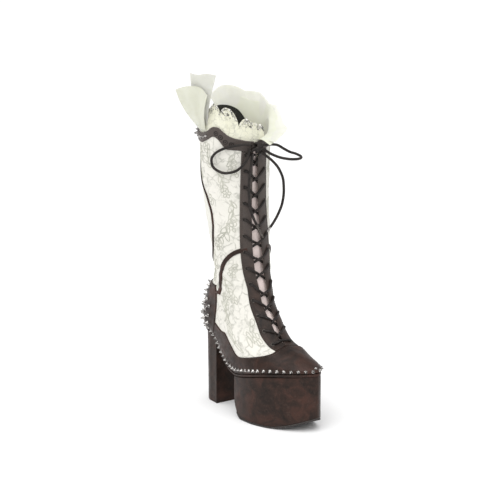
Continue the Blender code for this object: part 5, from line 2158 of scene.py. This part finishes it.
FAN_COLUMNS = (16.4, 12.7)
LOW_PETAL = ((14.0, -76.0, 503.0), (33.0, -73.5, 510.0), (54.0, -70.0, 514.0), (68.0, -64.5, 511.0),
             (79.0, -60.0, 503.0))
TALL_PETAL = ((40.0, -66.0, 531.5), (56.0, -62.0, 531.0), (72.0, -57.0, 534.0), (86.0, -51.0, 533.0))


@dataclass(frozen=True)
class Petal:
    """One gathered petal of the fan, from the collar to a spread top edge."""

    name: str
    top: tuple[Triple, ...]
    folds: float
    fold: float
    bulge: float
    inset: float
    finish: Finish

    def build(self, last: Last, nodes: Sequence[str]) -> None:
        """Make the sheet from the collar to its rim.

        Args:
            last: The boot's surface.
            nodes: Solids that it stands for.
        """
        share = np.linspace(0.0, 1.0, 110)
        columns = FAN_COLUMNS[0] + (FAN_COLUMNS[1] - FAN_COLUMNS[0]) * share
        stations = np.array([(Side.RIGHT, column) for column in columns])
        base, out, below = collar_line(last, stations, self.inset, 0.5)
        edge = smooth_path(np.array(self.top), 40)
        spots = np.linspace(0.0, len(edge) - 1.0, len(share))
        rim = np.stack([np.interp(spots, np.arange(len(edge)), edge[:, i]) for i in range(3)], axis=1)
        angle = 2.0 * math.pi * self.folds * share
        pleat = np.sin(angle) + 0.3 * np.sin(2.2 * angle + 0.9)
        lines = [below]
        for v in np.linspace(0.0, 1.0, 34):
            flare = self.bulge * math.sin(math.pi * v) + self.fold * pleat * v ** 0.8
            lines.append(base + (rim - base) * v + out * flare[:, None])
        cloth_piece(self.name, np.array(lines), self.finish, nodes)


class Scallop(NamedTuple):
    """One scallop of the trim: its columns, left ones negative, and its height."""

    first: float
    last: float
    peak: float


SCALLOPS = rows_of(
    Scallop, (13.5, 8.8, 36.0), (8.8, 4.7, 40.0), (4.7, -0.6, 32.5), (-0.6, -3.4, 21.0),
)
NOTCHES = (16.0, 16.0, 14.0, 17.0, 8.0)
FACING_LINE = ((17.2, 0.0), (18.0, 9.0), (19.0, 16.0), (20.5, 19.0), (22.0, 18.0), (23.2, 13.0), (24.0, 0.0))


@dataclass
class Collar:
    """Frills, scalloped trim, its beads and the dark facing at the collar."""

    last: Last
    bead: float = 1.15
    pearl: float = 1.7
    beads_each: int = 44
    pearls_each: int = 12

    def build(self) -> None:
        """Make the frills, then the trim and the facing."""
        Ruffle("far_frill_tall", columns=(23.5, 45.1), scale=(1.0, 1.0), waves=4.0, wave=1.3,
               finish=FAR_EDGE, sweep=10.0).build(self.last, ("frill_far",))
        Ruffle("far_frill_low", columns=(24.5, 45.7), scale=(0.74, 0.8), waves=3.0, wave=1.2,
               finish=FAR_ORGANZA, phase=1.4, inset=0.9, root=1.4, sweep=5.0, arch=4.0,
               drop=4.5).build(self.last, ())
        Petal("fan_tall", TALL_PETAL, folds=0.8, fold=1.3, bulge=3.0, inset=0.9,
              finish=ORGANZA_EDGE).build(self.last, ("frill_back",))
        Petal("fan_low", LOW_PETAL, folds=1.1, fold=1.6, bulge=5.0, inset=0.0,
              finish=ORGANZA).build(self.last, ())
        self.trim()
        self.facing()

    def crest(self, column: Array) -> Array:
        """Height of the trim over the collar at a column.

        Args:
            column: Grid columns.

        Returns:
            Heights.
        """
        bounds = [-scallop.first for scallop in SCALLOPS] + [-SCALLOPS[-1].last]
        height = np.interp(-column, bounds, NOTCHES)
        for scallop in SCALLOPS:
            u = np.clip((scallop.first - column) / (scallop.first - scallop.last), 0.0, 1.0)
            arch = np.sin(math.pi * u) ** 0.4 * (u > 0) * (u < 1)
            height = height + np.maximum(scallop.peak - height, 0.0) * arch
        return height

    def trim(self) -> None:
        """The scalloped lace, its corded ribs and its beads."""
        columns = np.linspace(SCALLOPS[0].first, SCALLOPS[-1].last, 240)
        stations = np.array([(Side.RIGHT, c) if c >= 0.0 else (Side.LEFT, -c) for c in columns])
        base, out, below = collar_line(self.last, stations, 0.0, 0.5)

        def along(values: Array, column: Array) -> Array:
            """Values given along the trim, at other columns."""
            return np.stack([np.interp(-column, -columns, values[:, i]) for i in range(3)], axis=-1)

        def at(column: Array, climb: Array) -> Array:
            """Point of the trim by column and share of its height.

            Args:
                column: Grid columns.
                climb: Shares of the trim's height.

            Returns:
                Points.
            """
            lean = -3.6 * climb ** 1.5 + 1.4 * np.sin(1.5 * column + 0.6) * climb
            rise = UP * (self.crest(column) * climb)[..., None]
            return along(base, column) + along(out, column) * lean[..., None] + rise

        climbs = np.concatenate([np.linspace(0.0, 0.9, 20), (0.93, 0.955, 0.975, 0.99, 1.0)])
        columns_all, climbs_all = np.meshgrid(columns, climbs)
        grid = np.concatenate([below[None], at(columns_all, climbs_all)])
        cloth_piece("scalloped_lace", grid, TRIM_CLOTH, ("scalloped_trim",), 0.6)
        ribs, beads, pearls = Shape(), Shape(), Shape()
        ball = [(math.sin(a), 1.0 - math.cos(a)) for a in np.linspace(0.0, math.pi, 7)]
        draw = np.random.default_rng(SEED)
        for scallop in SCALLOPS:
            width = scallop.last - scallop.first
            middle = scallop.first + width / 2.0
            for fan in np.linspace(-0.4, 0.4, 5):
                s = np.linspace(0.12, 0.86, 12)
                ribs.tube(at(middle + width * fan * s, s) + np.array((0.3, -0.5, 0.0)), 0.5, 6)
            spots = scallop.first + width * draw.uniform(0.03, 0.97, self.beads_each)
            heights = 0.985 - 0.4 * draw.beta(1.1, 2.6, self.beads_each)
            small = -self.pearls_each
            for shape, size, pick in ((beads, self.bead, slice(0, small)),
                                      (pearls, 0.9 * self.bead, slice(small, None))):
                shape.lathes([(size * r, size * h) for r, h in ball], at(spots[pick], heights[pick]),
                             along(out, spots[pick]), 8)
            top = np.array([middle])
            tip = [(self.pearl * r, self.pearl * h) for r, h in ball]
            pearls.lathes(tip, at(top, np.array([0.98])), along(out, top), 10)
        piece(ribs, "trim_ribs", TRIM_CLOTH)
        piece(beads, "trim_beads", BEAD)
        piece(pearls, "trim_pearls", PEARL)

    def facing(self) -> None:
        """Dark facing that stands above the far side's collar."""
        edge = curve_through(*zip(*FACING_LINE))
        columns = np.linspace(FACING_LINE[0][0], FACING_LINE[-1][0], 70)
        stations = past_back(columns, Side.LEFT)
        base = self.last.sheet(np.array([float(ROW_EDGE)]), stations, -4.6)[0][0]
        below = self.last.sheet(np.array([ROW_EDGE - 1.4]), stations, -3.4)[0][0]
        height = np.maximum(edge(columns), 0.4)
        grid = np.array([below] + [base + UP * (height * v)[:, None] for v in np.linspace(0.0, 1.0, 12)])
        shape = Shape()
        shape.shell(grid, unit(np.cross(np.gradient(grid, axis=1), np.gradient(grid, axis=0))), 0.7, 0.6)
        piece(shape, "dark_facing", FACING)


def main() -> None:
    """Build the studio, the cords and then the rest of the boot."""
    logging.basicConfig(level=logging.INFO, format="%(name)s: %(message)s")
    last = Last()
    Studio().build()
    Bow(last).build()
    Lacing(last).build()
    Sole().build()
    Upper(last).build()
    Overlays(last).build()
    Studs(last).build()
    Collar(last).build()


if __name__ == "__main__":
    main()
